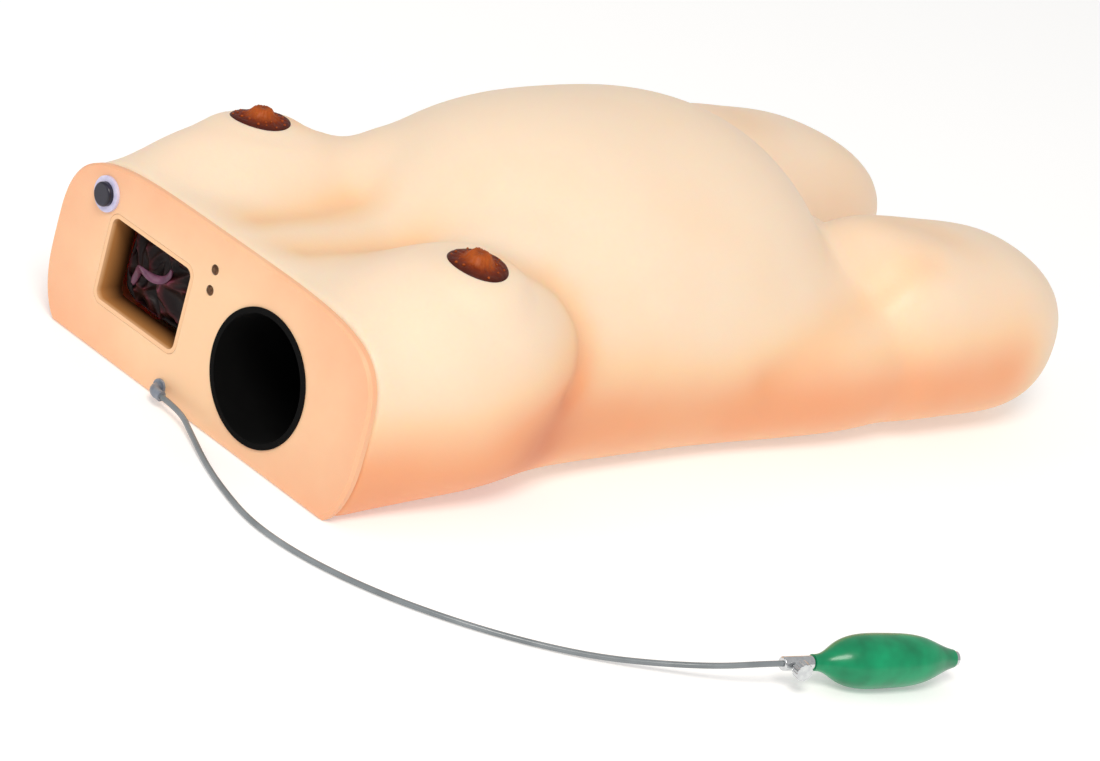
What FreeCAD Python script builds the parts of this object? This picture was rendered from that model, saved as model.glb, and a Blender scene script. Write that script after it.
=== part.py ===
import FreeCAD, Part
import math
import os

# Maternity examination model: a half-body torso with a full-term belly, lying
# on its flat back. The chest end is cut square and closed by a panel with a
# rectangular window, a round port and a push button. An air bag inside is
# filled through a thin tube by a squeeze bulb that lies on the table.
#
# Millimetres. X runs along the body from the chest end to the thighs, Y to
# the person's left, Z up. The origin is under the middle of the body, on the
# surface that it lies on. Lengths called "line" or "reach" are counted along
# the body from the front face of the end panel.

# Lengths along the body
chest_length = 210.0
belly_length = 290.0
hip_length = 110.0
thigh_reach = 138.0

# Sections of the trunk at the chest end, the breasts, under the breasts, the
# belly, the hips and the crotch: half width on the table, half width at the
# widest, height of the crown without breasts or belly, and how square it is
breast_line = 119.0
belly_crest = 128.0
base_half_widths = (148.0, 125.0, 113.0, 114.0, 121.0, 104.0)
half_widths = (165.0, 177.0, 160.0, 159.0, 173.0, 158.0)
crown_heights = (132.0, 131.0, 128.0, 130.0, 122.0, 108.0)
squareness = (4.5, 3.5, 2.9, 2.8, 2.8, 2.8)
flank_height = 50.0
foot_turn = 20.0
foot_trim = 3.0
crotch_round = 62.0
crotch_share = 0.45
crotch_overhang = 12.0

# Belly dome and breasts, which swell out of the trunk
belly_radius = 160.0
belly_half_length = 222.0
belly_fullness = 2.7
belly_steepness = 0.6
belly_blend = 16.0
breast_spacing = 231.0
breast_rise = 42.0
breast_half_length = 112.0
breast_half_width = 85.0

# Thigh stumps
thigh_root = 118.0
thigh_full = 58.0
thigh_centres = (88.0, 100.0, 105.0, 109.0)
thigh_half_widths = (52.0, 76.0, 75.0, 69.0)
thigh_tops = (98.0, 147.0, 137.0, 121.0)
thigh_centre_height = 62.0
thigh_lift = 2.0
thigh_squareness = 2.4
thigh_slant = 19.0
thigh_round = 82.0
thigh_end_share = 0.44

# Shell, and how closely its moulded skin follows the worked-out sections
wall = 10.0
cut_past = 1.0
skin_closeness = 0.1
level_limit = 0.01
cavity_round = 60.0
cavity_share = 0.5
board_thickness = 6.0
rim = 12.0
ledge = 16.0
board_gap = 0.3
base_screw_radius = 2.0
base_screw_length = 14.0
base_screw_head = 4.2
base_screw_rows = 4
base_screw_inset = 24.0
screw_gap = 0.1

# End panel
panel_thickness = 6.0
panel_chamfer = 2.0
fit_gap = 0.2

# Window and its liner
window_out = 66.5
window_height = 66.0
window_width = 86.0
window_rise = 60.0
window_depth = 22.0
window_corner = 6.0
liner_wall = 3.0

# Port, its collar and its blind sleeve
port_out = -61.0
port_height = 59.0
port_radius = 43.0
collar_wall = 2.0
collar_proud = 1.2
sleeve_wall = 2.0
sleeve_depth = 120.0

# Push button at the upper far corner
button_out = 121.0
button_below_crown = 25.0
button_radius = 8.5
button_proud = 4.0
button_travel = 2.5
button_stem = 3.0
bezel_radius = 12.5
bezel_proud = 2.0
bezel_barrel = 10.5
switch_radius = 10.5
switch_length = 20.0
running_gap = 0.05

# Batten behind the panel, held by two screws
batten_out = 2.5
batten_width = 19.0
batten_height = 106.0
batten_thickness = 12.0
panel_screw_radius = 2.0
panel_screw_head = 3.6
panel_screw_length = 14.0
panel_screw_proud = 1.2
panel_screw_heights = (107.0, 92.0)

# Nipples, soft inserts that sit in round seats on the breasts
nipple_radius = 23.0
nipple_rim = 3.5
nipple_dome = 4.5
nipple_tip_radius = 7.5
nipple_tip_rise = 8.0
nipple_line = 115.0
nipple_tilt = 6.0
nipple_seat = 5.0

# Air tube, elbow, valve and bulb
tube_radius = 2.0
tube_bore = 1.1
elbow_out = 26.0
elbow_height = 9.0
elbow_radius = 3.6
elbow_bend = 9.0
elbow_flange = 5.6
elbow_tail = 10.0
bulb_length = 113.0
bulb_radius = 17.8
bulb_wall = 2.4
bulb_neck = 5.5
valve_radius = 4.6
valve_length = 24.0
valve_spigot = 9.0
knob_radius = 6.0
knob_length = 6.0
knob_gap = 0.4
knob_stem = 1.6
knob_flutes = 12
intake_radius = 6.0
intake_length = 5.0

# Air bag, its strap and the tube that fills it inside the body
bag_start_gap = 1.0
bag_front_half_width = 46.0
bag_front_half_height = 31.0
bag_front_closing = 0.8
bag_folds = 7
bag_fold_depth = 5.5
bag_end_gap = 2.0
bag_bed_half_width = 56.0
bag_side_gap = 6.0
bag_bed_half_height = 13.0
strap_out = 76.0
strap_length = 44.0
strap_width = 7.0
strap_thickness = 1.8
strap_lean = -37.0
fitting_line = 52.0
fitting_out = 58.0
fitting_radius = 4.5
fitting_length = 12.0

# Foam cradle, practice doll and sound unit
cradle_before_belly = 156.0
cradle_past_belly = 84.0
cradle_wall = 14.0
cradle_height = 60.0
cradle_floor = 24.0
bag_bed_gap = 1.4
doll_gap = 0.3
doll_head_radius = 40.0
doll_head_past_belly = 72.0
doll_body_half_length = 74.0
doll_body_radius = 40.0
doll_body_before_belly = 20.0
doll_limb_radius = 13.0
sound_length = 82.0
sound_width = 54.0
sound_height = 24.0
sound_start = 62.0
sound_out = 58.0
lead_radius = 1.5
lead_straight = 20.0
lead_bow = 12.0

# Derived places
waist_line = chest_length
button_height = crown_heights[0] - button_below_crown
belly_line = chest_length + belly_crest
hip_line = chest_length + belly_length
crotch_line = hip_line + hip_length
body_length = crotch_line + thigh_reach
front_reach = button_proud + bezel_proud
overall_length = body_length + front_reach
stations = (0.0, breast_line, waist_line, belly_line, hip_line, crotch_line)
breast_out = breast_spacing / 2
cradle_start = belly_line - cradle_before_belly
cradle_length = cradle_before_belly + cradle_past_belly
bag_length = cradle_start + cradle_length - bag_end_gap - window_depth - bag_start_gap
doll_body_line = belly_line - doll_body_before_belly
doll_head_line = belly_line + doll_head_past_belly
X = FreeCAD.Vector(1, 0, 0)
Y = FreeCAD.Vector(0, 1, 0)
Z = FreeCAD.Vector(0, 0, 1)


def point(line, out, height):
    """A place on the body: along it, to its left, and up."""
    return FreeCAD.Vector(line + front_reach - overall_length / 2, out, height)


def smooth_value(line, lines, values):
    """A smooth curve through the given values that never overshoots them, read at one line."""
    i = 0
    while i < len(lines) - 2 and line > lines[i + 1]:
        i += 1
    slopes = []
    for j in (i, i + 1):
        before = max(j - 1, 0)
        after = min(j + 1, len(lines) - 1)
        turning = (values[j] - values[before]) * (values[after] - values[j]) <= 0
        slope = (values[after] - values[before]) / (lines[after] - lines[before])
        slopes.append(0.0 if turning and before < j < after else slope)
    span = lines[i + 1] - lines[i]
    t = (line - lines[i]) / span
    start = values[i] * (1 + 2 * t) * (1 - t) ** 2 + slopes[0] * span * t * (1 - t) ** 2
    finish = values[i + 1] * t ** 2 * (3 - 2 * t) - slopes[1] * span * t ** 2 * (1 - t)
    return start + finish


def superellipse(turn, across, up, power):
    """Distance from the centre to a squared-off ellipse, at one angle."""
    wide = abs(math.cos(turn) / across) ** power
    tall = abs(math.sin(turn) / up) ** power
    return (wide + tall) ** (-1 / power)


def belly_swell(line):
    """Radius of the belly dome about the axis of the trunk."""
    share = 1 - abs((line - belly_line) / belly_half_length) ** belly_fullness
    if share <= 0:
        return 0.0
    return belly_radius * share ** belly_steepness


def trunk_radius(line, turn):
    """Distance from the axis of the trunk to its skin, breasts left out."""
    across = smooth_value(line, stations, half_widths)
    up = smooth_value(line, stations, crown_heights) - flank_height
    power = smooth_value(line, stations, squareness)
    plain = superellipse(turn, across, up, power)
    dome = belly_swell(line)
    if dome == 0:
        return plain
    joined = (plain + dome + math.hypot(plain - dome, belly_blend)) / 2
    return plain + (joined - plain) * min(1.0, 1.6 * math.sin(turn))


def breast_swell(line, out):
    """Height that the breasts add at one place."""
    along = (line - breast_line) / breast_half_length
    aside = (abs(out) - breast_out) / breast_half_width
    share = 1 - along ** 2 - aside ** 2
    return breast_rise * share ** 1.5 if share > 0 else 0.0


def rounding(line, finish, length, smallest):
    """Share of the full section that is left near a rounded end."""
    late = (line - (finish - length)) / length
    if late <= 0:
        return 1.0
    return smallest + (1 - smallest) * math.sqrt(max(0.0, 1 - late ** 2))


def section_points(line, inset, share, with_breasts, floor, foot):
    """One arch of the trunk, from its near foot over the crown to its far foot."""
    turns = 24
    steps = 5
    arch = []
    for i in range(turns + 1):
        turn = math.pi * i / turns
        radius = (trunk_radius(line, turn) - inset) * share
        out = -radius * math.cos(turn)
        height = flank_height + radius * math.sin(turn)
        if with_breasts:
            height += breast_swell(line, out)
        arch.append((out, height))
    widest = arch[-1][0]
    feet = []
    low = math.radians(foot_turn)
    for i in range(steps):
        turn = low + (math.pi / 2 - low) * i / steps
        aside = (math.sin(turn) - math.sin(low)) / (1 - math.sin(low))
        rise = 1 - math.cos(turn) / math.cos(low)
        feet.append((foot * share + (widest - foot * share) * aside, floor + (flank_height - floor) * rise))
    near = [(-out, height) for out, height in feet]
    return [point(line, out, height) for out, height in near + arch + feet[::-1]]


def section_lines(start, finish, round_length, plain_rows, round_rows):
    """Lines at which a rounded body is drawn, closer together near its end."""
    straight = finish - round_length - start
    lines = [start + straight * i / plain_rows for i in range(plain_rows + 1)]
    for i in range(1, round_rows + 1):
        lines.append(finish - round_length + round_length * math.sin(math.pi / 2 * i / round_rows))
    return lines


def solid_of_rows(rows):
    """A closed body from a smooth skin over open arches and a floor ruled between their feet."""
    skin = Part.BSplineSurface()
    skin.approximate(Points=rows, DegMin=3, DegMax=5, Continuity=2, Tolerance=skin_closeness)
    skin_face = skin.toShape()
    arches = [edge for edge in skin_face.Edges if edge.BoundBox.XLength < level_limit]
    feet = [edge for edge in skin_face.Edges if edge.BoundBox.XLength >= level_limit]
    faces = [skin_face, Part.makeRuledSurface(feet[0], feet[1])]
    for arch in arches:
        foot = Part.makeLine(arch.Vertexes[-1].Point, arch.Vertexes[0].Point)
        faces.append(Part.Face(Part.Wire([arch, foot])))
    shell = Part.makeShell(faces)
    shell.sewShape(0.01)
    solid = Part.makeSolid(shell)
    if solid.Volume < 0:
        solid.reverse()
    return solid


def rod(start, direction, radius, length):
    return Part.makeCylinder(radius, length, start, direction)


def block(line, out, height, long, wide, tall):
    """A box centred on out, from one line on and from one height up."""
    corner = point(line, out - wide / 2, height)
    return Part.makeBox(long, wide, tall, corner)


def rounded_block(line, out, height, long, wide, tall, corner):
    """A box along the body whose four long edges are rounded; height is its centre."""
    box = block(line, out, height - tall / 2, long, wide, tall)
    long_edges = [e for e in box.Edges if abs(e.tangentAt(e.FirstParameter).x) > 0.99]
    return box.makeFillet(min(corner, wide / 3, tall / 3), long_edges)


def save(shape, name):
    solids = len(shape.Solids)
    shape.exportStep("parts/" + name + ".step")
    print(name, "solids", solids, "volume", round(shape.Volume / 1000, 1), "ml", shape.isValid())


def trunk_foot(line):
    return smooth_value(line, stations, base_half_widths)


def trunk_body():
    finish = crotch_line + crotch_overhang
    rows = []
    for line in section_lines(panel_thickness, finish, crotch_round, 24, 5):
        share = rounding(line, finish, crotch_round, crotch_share)
        rows.append(section_points(line, 0.0, share, True, -foot_trim, trunk_foot(line)))
    under_table = block(-foot_trim, 0, -2 * foot_trim, overall_length, overall_length, 2 * foot_trim)
    return solid_of_rows(rows).cut(under_table)


def cavity_finish():
    return hip_line - wall - cavity_round / 2


def cavity_body():
    finish = cavity_finish()
    rows = []
    for line in section_lines(panel_thickness - cut_past, finish, cavity_round, 14, 4):
        share = rounding(line, finish, cavity_round, cavity_share)
        foot = trunk_foot(line) - rim - ledge
        rows.append(section_points(line, wall, share, False, board_thickness / 2, foot))
    return solid_of_rows(rows)


def thigh_section(line, lines, side):
    """One closed section of a thigh, slanted so that its inner side reaches further."""
    centre = smooth_value(line, lines, thigh_centres)
    across = smooth_value(line, lines, thigh_half_widths)
    top = smooth_value(line, lines, thigh_tops) - thigh_centre_height
    below = thigh_centre_height - thigh_lift
    share = rounding(line, body_length, thigh_round, thigh_end_share)
    slant = thigh_slant * (line - lines[0]) / (lines[-1] - lines[0])
    count = 24
    points = []
    for i in range(count):
        turn = 2 * math.pi * i / count
        up = top if math.sin(turn) > 0 else below
        radius = superellipse(turn, across, up, thigh_squareness) * share
        aside = radius * math.cos(turn)
        back = slant * (aside / across + thigh_end_share)
        height = thigh_centre_height + radius * math.sin(turn)
        points.append(point(line - back, side * (centre + aside), height))
    curve = Part.BSplineCurve()
    curve.interpolate(Points=points, PeriodicFlag=True)
    return Part.Wire([curve.toShape()])


def thigh_body(side):
    start = body_length - thigh_reach - thigh_root
    lines = (start, start + thigh_full, (start + thigh_full + body_length) / 2, body_length)
    places = section_lines(start, body_length, thigh_round, 5, 4)
    wires = [thigh_section(line, lines, side) for line in places]
    return Part.makeLoft(wires, True, False)


def skin_height(line, out):
    """Height of the outer skin over one place of the trunk."""
    low = math.pi / 2
    high = math.pi
    for i in range(40):
        turn = (low + high) / 2
        if -trunk_radius(line, turn) * math.cos(turn) < out:
            low = turn
        else:
            high = turn
    crown = flank_height + trunk_radius(line, low) * math.sin(low)
    return crown + breast_swell(line, out)


def board_outline(inset):
    """Face of the base board's outline on the table, drawn in by an inset."""
    start = panel_thickness + rim + inset
    finish = cavity_finish() + ledge - inset
    steps = 8
    near = []
    far = []
    for i in range(steps + 1):
        line = start + (finish - start) * i / steps
        out = trunk_foot(line) - rim - inset
        near.append(point(line, -out, 0))
        far.append(point(line, out, 0))
    edges = []
    for side in (near, far[::-1]):
        curve = Part.BSplineCurve()
        curve.interpolate(side)
        edges.append(curve.toShape())
    edges.insert(1, Part.makeLine(near[-1], far[-1]))
    edges.append(Part.makeLine(far[0], near[0]))
    return Part.Face(Part.Wire(edges))


def board_rebate():
    """Recess for the base board, open downwards."""
    below = board_outline(-board_gap)
    below.translate(Z * -1)
    return below.extrude(Z * (board_thickness + 1))


def base_screw_places():
    start = panel_thickness + rim + base_screw_inset
    finish = cavity_finish() - cavity_round
    places = []
    for i in range(base_screw_rows):
        line = start + (finish - start) * i / (base_screw_rows - 1)
        for side in (-1, 1):
            places.append((line, side * (trunk_foot(line) - rim - ledge / 2)))
    return places


def countersunk_screw(foot, direction, radius, head, length, gap):
    """A screw whose flat head starts at foot; gap widens it into its hole."""
    head_depth = head - radius
    cone = Part.makeCone(head + gap, radius + gap, head_depth, foot, direction)
    shank = rod(foot, direction, radius + gap, length + gap)
    return cone.fuse(shank).removeSplitter()


def screws_and_holes():
    screws = []
    holes = []
    for line, out in base_screw_places():
        foot = point(line, out, 0)
        screws.append(countersunk_screw(foot, Z, base_screw_radius, base_screw_head,
                                        base_screw_length, 0.0))
        holes.append(countersunk_screw(foot, Z, base_screw_radius, base_screw_head,
                                       base_screw_length, screw_gap))
    return Part.makeCompound(screws), holes


def nipple_axis(side):
    lean = math.radians(nipple_tilt)
    return FreeCAD.Vector(0, side * math.sin(lean), math.cos(lean))


def nipple_foot(side):
    top = skin_height(nipple_line, breast_out)
    return point(nipple_line, side * breast_out, top) - nipple_axis(side) * nipple_seat


def nipple_insert(side):
    """A low dome with a raised rim and a short tip, on a flat foot."""
    profile = [
        Part.makeLine(FreeCAD.Vector(0, 0, 0), FreeCAD.Vector(nipple_radius, 0, 0)),
        Part.makeLine(FreeCAD.Vector(nipple_radius, 0, 0),
                      FreeCAD.Vector(nipple_radius, 0, nipple_seat)),
    ]
    crown = nipple_seat + nipple_rim
    rim_arc = Part.Arc(FreeCAD.Vector(nipple_radius, 0, nipple_seat),
                       FreeCAD.Vector(nipple_radius - nipple_rim * 0.35, 0, crown - nipple_rim * 0.25),
                       FreeCAD.Vector(nipple_radius - nipple_rim, 0, crown))
    profile.append(rim_arc.toShape())
    saddle = (nipple_radius - nipple_rim + nipple_tip_radius) / 2
    dome = Part.Arc(FreeCAD.Vector(nipple_radius - nipple_rim, 0, crown),
                    FreeCAD.Vector(saddle, 0, crown - 1.0),
                    FreeCAD.Vector(nipple_tip_radius, 0, nipple_seat + nipple_dome))
    profile.append(dome.toShape())
    top = nipple_seat + nipple_dome + nipple_tip_rise
    flat = nipple_tip_radius * 0.25
    tip = Part.Arc(FreeCAD.Vector(nipple_tip_radius, 0, nipple_seat + nipple_dome),
                   FreeCAD.Vector(nipple_tip_radius * 0.78, 0, top - nipple_tip_rise * 0.25),
                   FreeCAD.Vector(flat, 0, top))
    profile.append(tip.toShape())
    profile.append(Part.makeLine(FreeCAD.Vector(flat, 0, top), FreeCAD.Vector(0, 0, top)))
    profile.append(Part.makeLine(FreeCAD.Vector(0, 0, top), FreeCAD.Vector(0, 0, 0)))
    insert = Part.Face(Part.Wire(profile)).revolve(FreeCAD.Vector(0, 0, 0), Z, 360)
    turn = FreeCAD.Rotation(Z, nipple_axis(side))
    insert.Placement = FreeCAD.Placement(nipple_foot(side), turn)
    return Part.Solid(insert.Solids[0]) if insert.Solids else Part.makeSolid(insert)


def nipple_seat_cut(side):
    return rod(nipple_foot(side), nipple_axis(side), nipple_radius + fit_gap, 2 * nipple_radius)


def torso_skin(holes):
    """Trunk, breasts, belly and thigh stumps moulded as one hollow body."""
    body = trunk_body()
    body = body.cut(cavity_body())
    for side in (-1, 1):
        body = body.fuse(thigh_body(side))
    for side in (-1, 1):
        body = body.cut(nipple_seat_cut(side))
    body = body.cut(board_rebate())
    for hole in holes:
        body = body.cut(hole)
    return Part.Solid(body.Solids[0]) if len(body.Solids) == 1 else body


def panel_wire(line, inset):
    points = section_points(panel_thickness, inset, 1.0, True, inset, trunk_foot(0.0) - inset)
    points = [FreeCAD.Vector(point(line, 0, 0).x, p.y, p.z) for p in points]
    arch = Part.BSplineCurve()
    arch.interpolate(points)
    return Part.Wire([arch.toShape(), Part.makeLine(points[-1], points[0])])


def port_centre(line):
    return point(line, port_out, port_height)


def button_centre(line):
    return point(line, button_out, button_height)


def panel_screw_places():
    return [point(0, batten_out, height) for height in panel_screw_heights]


def panel_screw(foot, gap):
    """A dome-headed screw that stands a little proud of the panel."""
    shank = rod(foot, X, panel_screw_radius + gap, panel_screw_length + gap)
    if gap:
        return shank
    dome = Part.makeCone(panel_screw_head * 0.6, panel_screw_head, panel_screw_proud,
                         foot - X * panel_screw_proud, X)
    return shank.fuse(dome).removeSplitter()


def end_panel():
    edge = Part.makeLoft([panel_wire(0.0, panel_chamfer), panel_wire(panel_chamfer, 0.0)], True, True)
    slab = Part.Face(panel_wire(panel_chamfer, 0.0)).extrude(X * (panel_thickness - panel_chamfer))
    panel = edge.fuse(slab).removeSplitter()
    window = rounded_block(-1, window_out, window_height, panel_thickness + 2,
                           window_width + 2 * (liner_wall + fit_gap),
                           window_rise + 2 * (liner_wall + fit_gap), window_corner + liner_wall)
    panel = panel.cut(window)
    panel = panel.cut(rod(port_centre(-1), X, port_radius + collar_wall + fit_gap, panel_thickness + 2))
    panel = panel.cut(rod(button_centre(-1), X, bezel_barrel + fit_gap, panel_thickness + 2))
    elbow_hole = rod(point(-1, elbow_out, elbow_height), X, elbow_radius + fit_gap, panel_thickness + 2)
    panel = panel.cut(elbow_hole)
    for foot in panel_screw_places():
        panel = panel.cut(panel_screw(foot - X, screw_gap))
    return panel


def window_liner():
    """Straight-sided sleeve behind the window, open at both ends, with a back flange."""
    outer = rounded_block(0, window_out, window_height, window_depth,
                          window_width + 2 * liner_wall, window_rise + 2 * liner_wall,
                          window_corner + liner_wall)
    flange = rounded_block(panel_thickness, window_out, window_height, liner_wall,
                           window_width + 4 * liner_wall, window_rise + 4 * liner_wall,
                           window_corner + 2 * liner_wall)
    inner = rounded_block(-1, window_out, window_height, window_depth + 2,
                          window_width, window_rise, window_corner)
    return outer.fuse(flange).cut(inner).removeSplitter()


def port_collar():
    ring = rod(port_centre(-collar_proud), X, port_radius + collar_wall, panel_thickness + collar_proud)
    lip = rod(port_centre(-collar_proud), X, port_radius + 2 * collar_wall, collar_proud)
    bore = rod(port_centre(-collar_proud - 1), X, port_radius, panel_thickness + collar_proud + 2)
    return ring.fuse(lip).cut(bore).removeSplitter()


def port_sleeve():
    """Blind rubber sleeve behind the port, a flange at its mouth."""
    outer = rod(port_centre(panel_thickness), X, port_radius + sleeve_wall, sleeve_depth)
    flange = rod(port_centre(panel_thickness), X, port_radius + 3 * sleeve_wall, sleeve_wall)
    bore = rod(port_centre(panel_thickness - 1), X, port_radius, sleeve_depth - sleeve_wall + 1)
    return outer.fuse(flange).cut(bore).removeSplitter()


def button_bezel():
    rim_ring = rod(button_centre(-bezel_proud), X, bezel_radius, bezel_proud)
    barrel = rod(button_centre(0), X, bezel_barrel, panel_thickness)
    bore = rod(button_centre(-bezel_proud - 1), X, button_radius + running_gap,
               panel_thickness + bezel_proud + 2)
    return rim_ring.fuse(barrel).cut(bore).removeSplitter()


def button_cap():
    """Slightly domed cap on a stem that works the switch."""
    front = -bezel_proud - button_proud
    back = panel_thickness - button_travel - 0.5
    cap = rod(button_centre(front), X, button_radius, back - front)
    rim_edges = [e for e in cap.Edges if e.BoundBox.XMax < button_centre(front).x + 0.01]
    cap = cap.makeFillet(min(1.5, button_proud / 2), rim_edges)
    stem = rod(button_centre(back), X, button_stem, panel_thickness + 2 - back)
    return cap.fuse(stem).removeSplitter()


def switch_body():
    can = rod(button_centre(panel_thickness), X, switch_radius, switch_length)
    socket_depth = button_travel + 4
    socket = rod(button_centre(panel_thickness - 1), X, button_stem + running_gap, socket_depth + 1)
    return can.cut(socket)


def end_batten():
    bar = block(panel_thickness, batten_out, board_thickness, batten_thickness, batten_width,
                batten_height)
    for foot in panel_screw_places():
        bar = bar.cut(panel_screw(foot, screw_gap))
    return bar


def elbow():
    """Moulded elbow: through the panel from inside, then down the front towards the near side."""
    start = point(panel_thickness + elbow_tail, elbow_out, elbow_height)
    corner = point(-elbow_bend, elbow_out, elbow_height)
    finish = corner - Y * (elbow_bend + 4)
    reach = elbow_bend * math.sqrt(0.5)
    first = corner + X * elbow_bend
    last = corner - Y * elbow_bend
    middle = corner + (X - Y) * (elbow_bend - reach)
    path = Part.Wire([Part.makeLine(start, first), Part.Arc(first, middle, last).toShape(),
                      Part.makeLine(last, finish)])
    outer = Part.Wire([Part.makeCircle(elbow_radius, start, X)])
    inner = Part.Wire([Part.makeCircle(tube_bore, start, X)])
    solid = path.makePipeShell([outer], True, True)
    hole = path.makePipeShell([inner], True, True)
    flange = rod(point(-1.6, elbow_out, elbow_height), X, elbow_flange, 1.6)
    return solid.fuse(flange).removeSplitter().cut(hole)


# Route of the air tube: out of the elbow, down to the table, round in the
# wide arc of the photograph and up to the valve; line, out and height
tube_route = (
    (-9.0, 13.0, 9.0),
    (-9.0, -8.0, 9.0),
    (-17.0, -32.0, 4.6),
    (-31.0, -66.0, 2.0),
    (-43.5, -102.0, 2.0),
    (-53.0, -142.0, 2.0),
    (-49.0, -188.0, 2.0),
    (-31.0, -238.0, 2.0),
    (-3.0, -283.0, 2.0),
    (28.0, -319.0, 2.0),
    (62.0, -349.0, 2.6),
    (95.0, -373.0, 6.0),
    (124.0, -396.0, 12.5),
    (149.4, -409.8, 18.0),
    (163.0, -413.0, 18.0),
)


def cord_path(route):
    """Straight runs joined by tangent arcs as large as the runs allow."""
    places = [point(*place) for place in route]
    edges = []
    radii = []
    start = places[0]
    for i in range(1, len(places) - 1):
        before = places[i] - places[i - 1]
        after = places[i + 1] - places[i]
        shorter = min(before.Length, after.Length)
        turn = before.getAngle(after)
        radius = 0.45 * shorter / math.tan(turn / 2)
        radii.append(round(radius, 1))
        inward = places[i] - before * (0.45 * shorter / before.Length)
        outward = places[i] + after * (0.45 * shorter / after.Length)
        bisector = (outward - places[i]) + (inward - places[i])
        centre_distance = radius / math.cos(turn / 2)
        middle = places[i] + bisector * ((centre_distance - radius) / bisector.Length)
        edges.append(Part.LineSegment(start, inward).toShape())
        edges.append(Part.Arc(inward, middle, outward).toShape())
        start = outward
    edges.append(Part.LineSegment(start, places[-1]).toShape())
    return Part.Wire(edges), radii


def air_tube():
    path, radii = cord_path(tube_route)
    start = point(*tube_route[0])
    direction = (point(*tube_route[1]) - start).normalize()
    outer = path.makePipeShell([Part.Wire([Part.makeCircle(tube_radius, start, direction)])], True, True)
    inner = path.makePipeShell([Part.Wire([Part.makeCircle(tube_bore, start, direction)])], True, True)
    tube = outer.cut(inner)
    expected = math.pi * (tube_radius ** 2 - tube_bore ** 2) * path.Length
    print("air tube length", round(path.Length, 1), "radii", radii)
    print("air tube volume over section times length", round(tube.Volume / expected, 4))
    return tube


def bulb_direction():
    """Level direction in which the valve and bulb point away from the tube."""
    return FreeCAD.Vector(0.974, -0.226, 0).normalize()


def bulb_axis_place(distance):
    """A place on the axis of valve and bulb, counted from the end of the tube."""
    return point(*tube_route[-1]) + bulb_direction() * distance


def turned(profile, distance):
    """Revolve a profile of (distance, radius) shapes about the bulb's axis."""
    wire = Part.Wire(profile)
    solid = Part.Face(wire).revolve(FreeCAD.Vector(0, 0, 0), X, 360)
    solid = solid if solid.ShapeType == "Solid" else Part.makeSolid(solid)
    solid.Placement = FreeCAD.Placement(bulb_axis_place(distance),
                                        FreeCAD.Rotation(X, bulb_direction()))
    return solid


def screw_direction():
    return bulb_direction().cross(Z).normalize()


def valve_body():
    """Turned metal valve: tube spigot, round barrel and a neck into the bulb."""
    barrel = rod(bulb_axis_place(0), bulb_direction(), valve_radius, valve_length)
    ends = [e for e in barrel.Edges if e.Curve.TypeId == "Part::GeomCircle"]
    barrel = barrel.makeFillet(valve_radius * 0.25, ends)
    neck = rod(bulb_axis_place(valve_length - 1), bulb_direction(), bulb_neck - bulb_wall, valve_spigot)
    centre = bulb_axis_place(valve_length * 0.42)
    boss = rod(centre, screw_direction(), valve_radius * 0.8, valve_radius + 1.5)
    seat = rod(centre, screw_direction(), knob_stem + running_gap, valve_radius + 2.5)
    return barrel.fuse(neck).fuse(boss).removeSplitter().cut(seat)


def release_screw():
    """Thumb screw with a fluted knob on a short stem."""
    centre = bulb_axis_place(valve_length * 0.42)
    foot = centre + screw_direction() * (valve_radius + 1.5 + knob_gap)
    knob = rod(foot, screw_direction(), knob_radius, knob_length)
    for i in range(knob_flutes):
        turn = 2 * math.pi * i / knob_flutes
        aside = bulb_direction() * math.cos(turn) + Z * math.sin(turn)
        knob = knob.cut(rod(foot + aside * (knob_radius + 0.5) - screw_direction(),
                            screw_direction(), 1.0, knob_length + 2))
    stem = rod(centre + screw_direction() * 1.0, screw_direction(), knob_stem, valve_radius + 2)
    return knob.fuse(stem).removeSplitter()


def bulb_half_profile(inset):
    """Egg-shaped half outline of the bulb, drawn in by the wall."""
    reach = bulb_length - inset
    neck = bulb_neck - inset
    return [
        FreeCAD.Vector(inset, 0, neck),
        FreeCAD.Vector(bulb_length * 0.05, 0, neck + 0.4),
        FreeCAD.Vector(bulb_length * 0.18, 0, bulb_radius * 0.74 - inset),
        FreeCAD.Vector(bulb_length * 0.50, 0, bulb_radius - inset),
        FreeCAD.Vector(bulb_length * 0.80, 0, bulb_radius * 0.78 - inset),
        FreeCAD.Vector(bulb_length * 0.95, 0, intake_radius + 1.5 - inset),
        FreeCAD.Vector(reach, 0, intake_radius - inset),
    ]


def squeeze_bulb():
    outer_points = bulb_half_profile(0.0)
    inner_points = bulb_half_profile(bulb_wall)
    solids = []
    for points in (outer_points, inner_points):
        curve = Part.BSplineCurve()
        curve.interpolate(points)
        first = FreeCAD.Vector(points[0].x, 0, 0)
        last = FreeCAD.Vector(points[-1].x, 0, 0)
        solids.append(turned([Part.makeLine(first, points[0]), curve.toShape(),
                              Part.makeLine(points[-1], last), Part.makeLine(last, first)],
                             valve_length))
    neck = rod(bulb_axis_place(valve_length - 1), bulb_direction(), bulb_neck - bulb_wall,
               valve_spigot + 1)
    tail_start = valve_length + bulb_length - bulb_wall - 2
    tail = rod(bulb_axis_place(tail_start), bulb_direction(), intake_radius - bulb_wall, bulb_wall + 4)
    return solids[0].cut(solids[1]).cut(neck).cut(tail)


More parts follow.
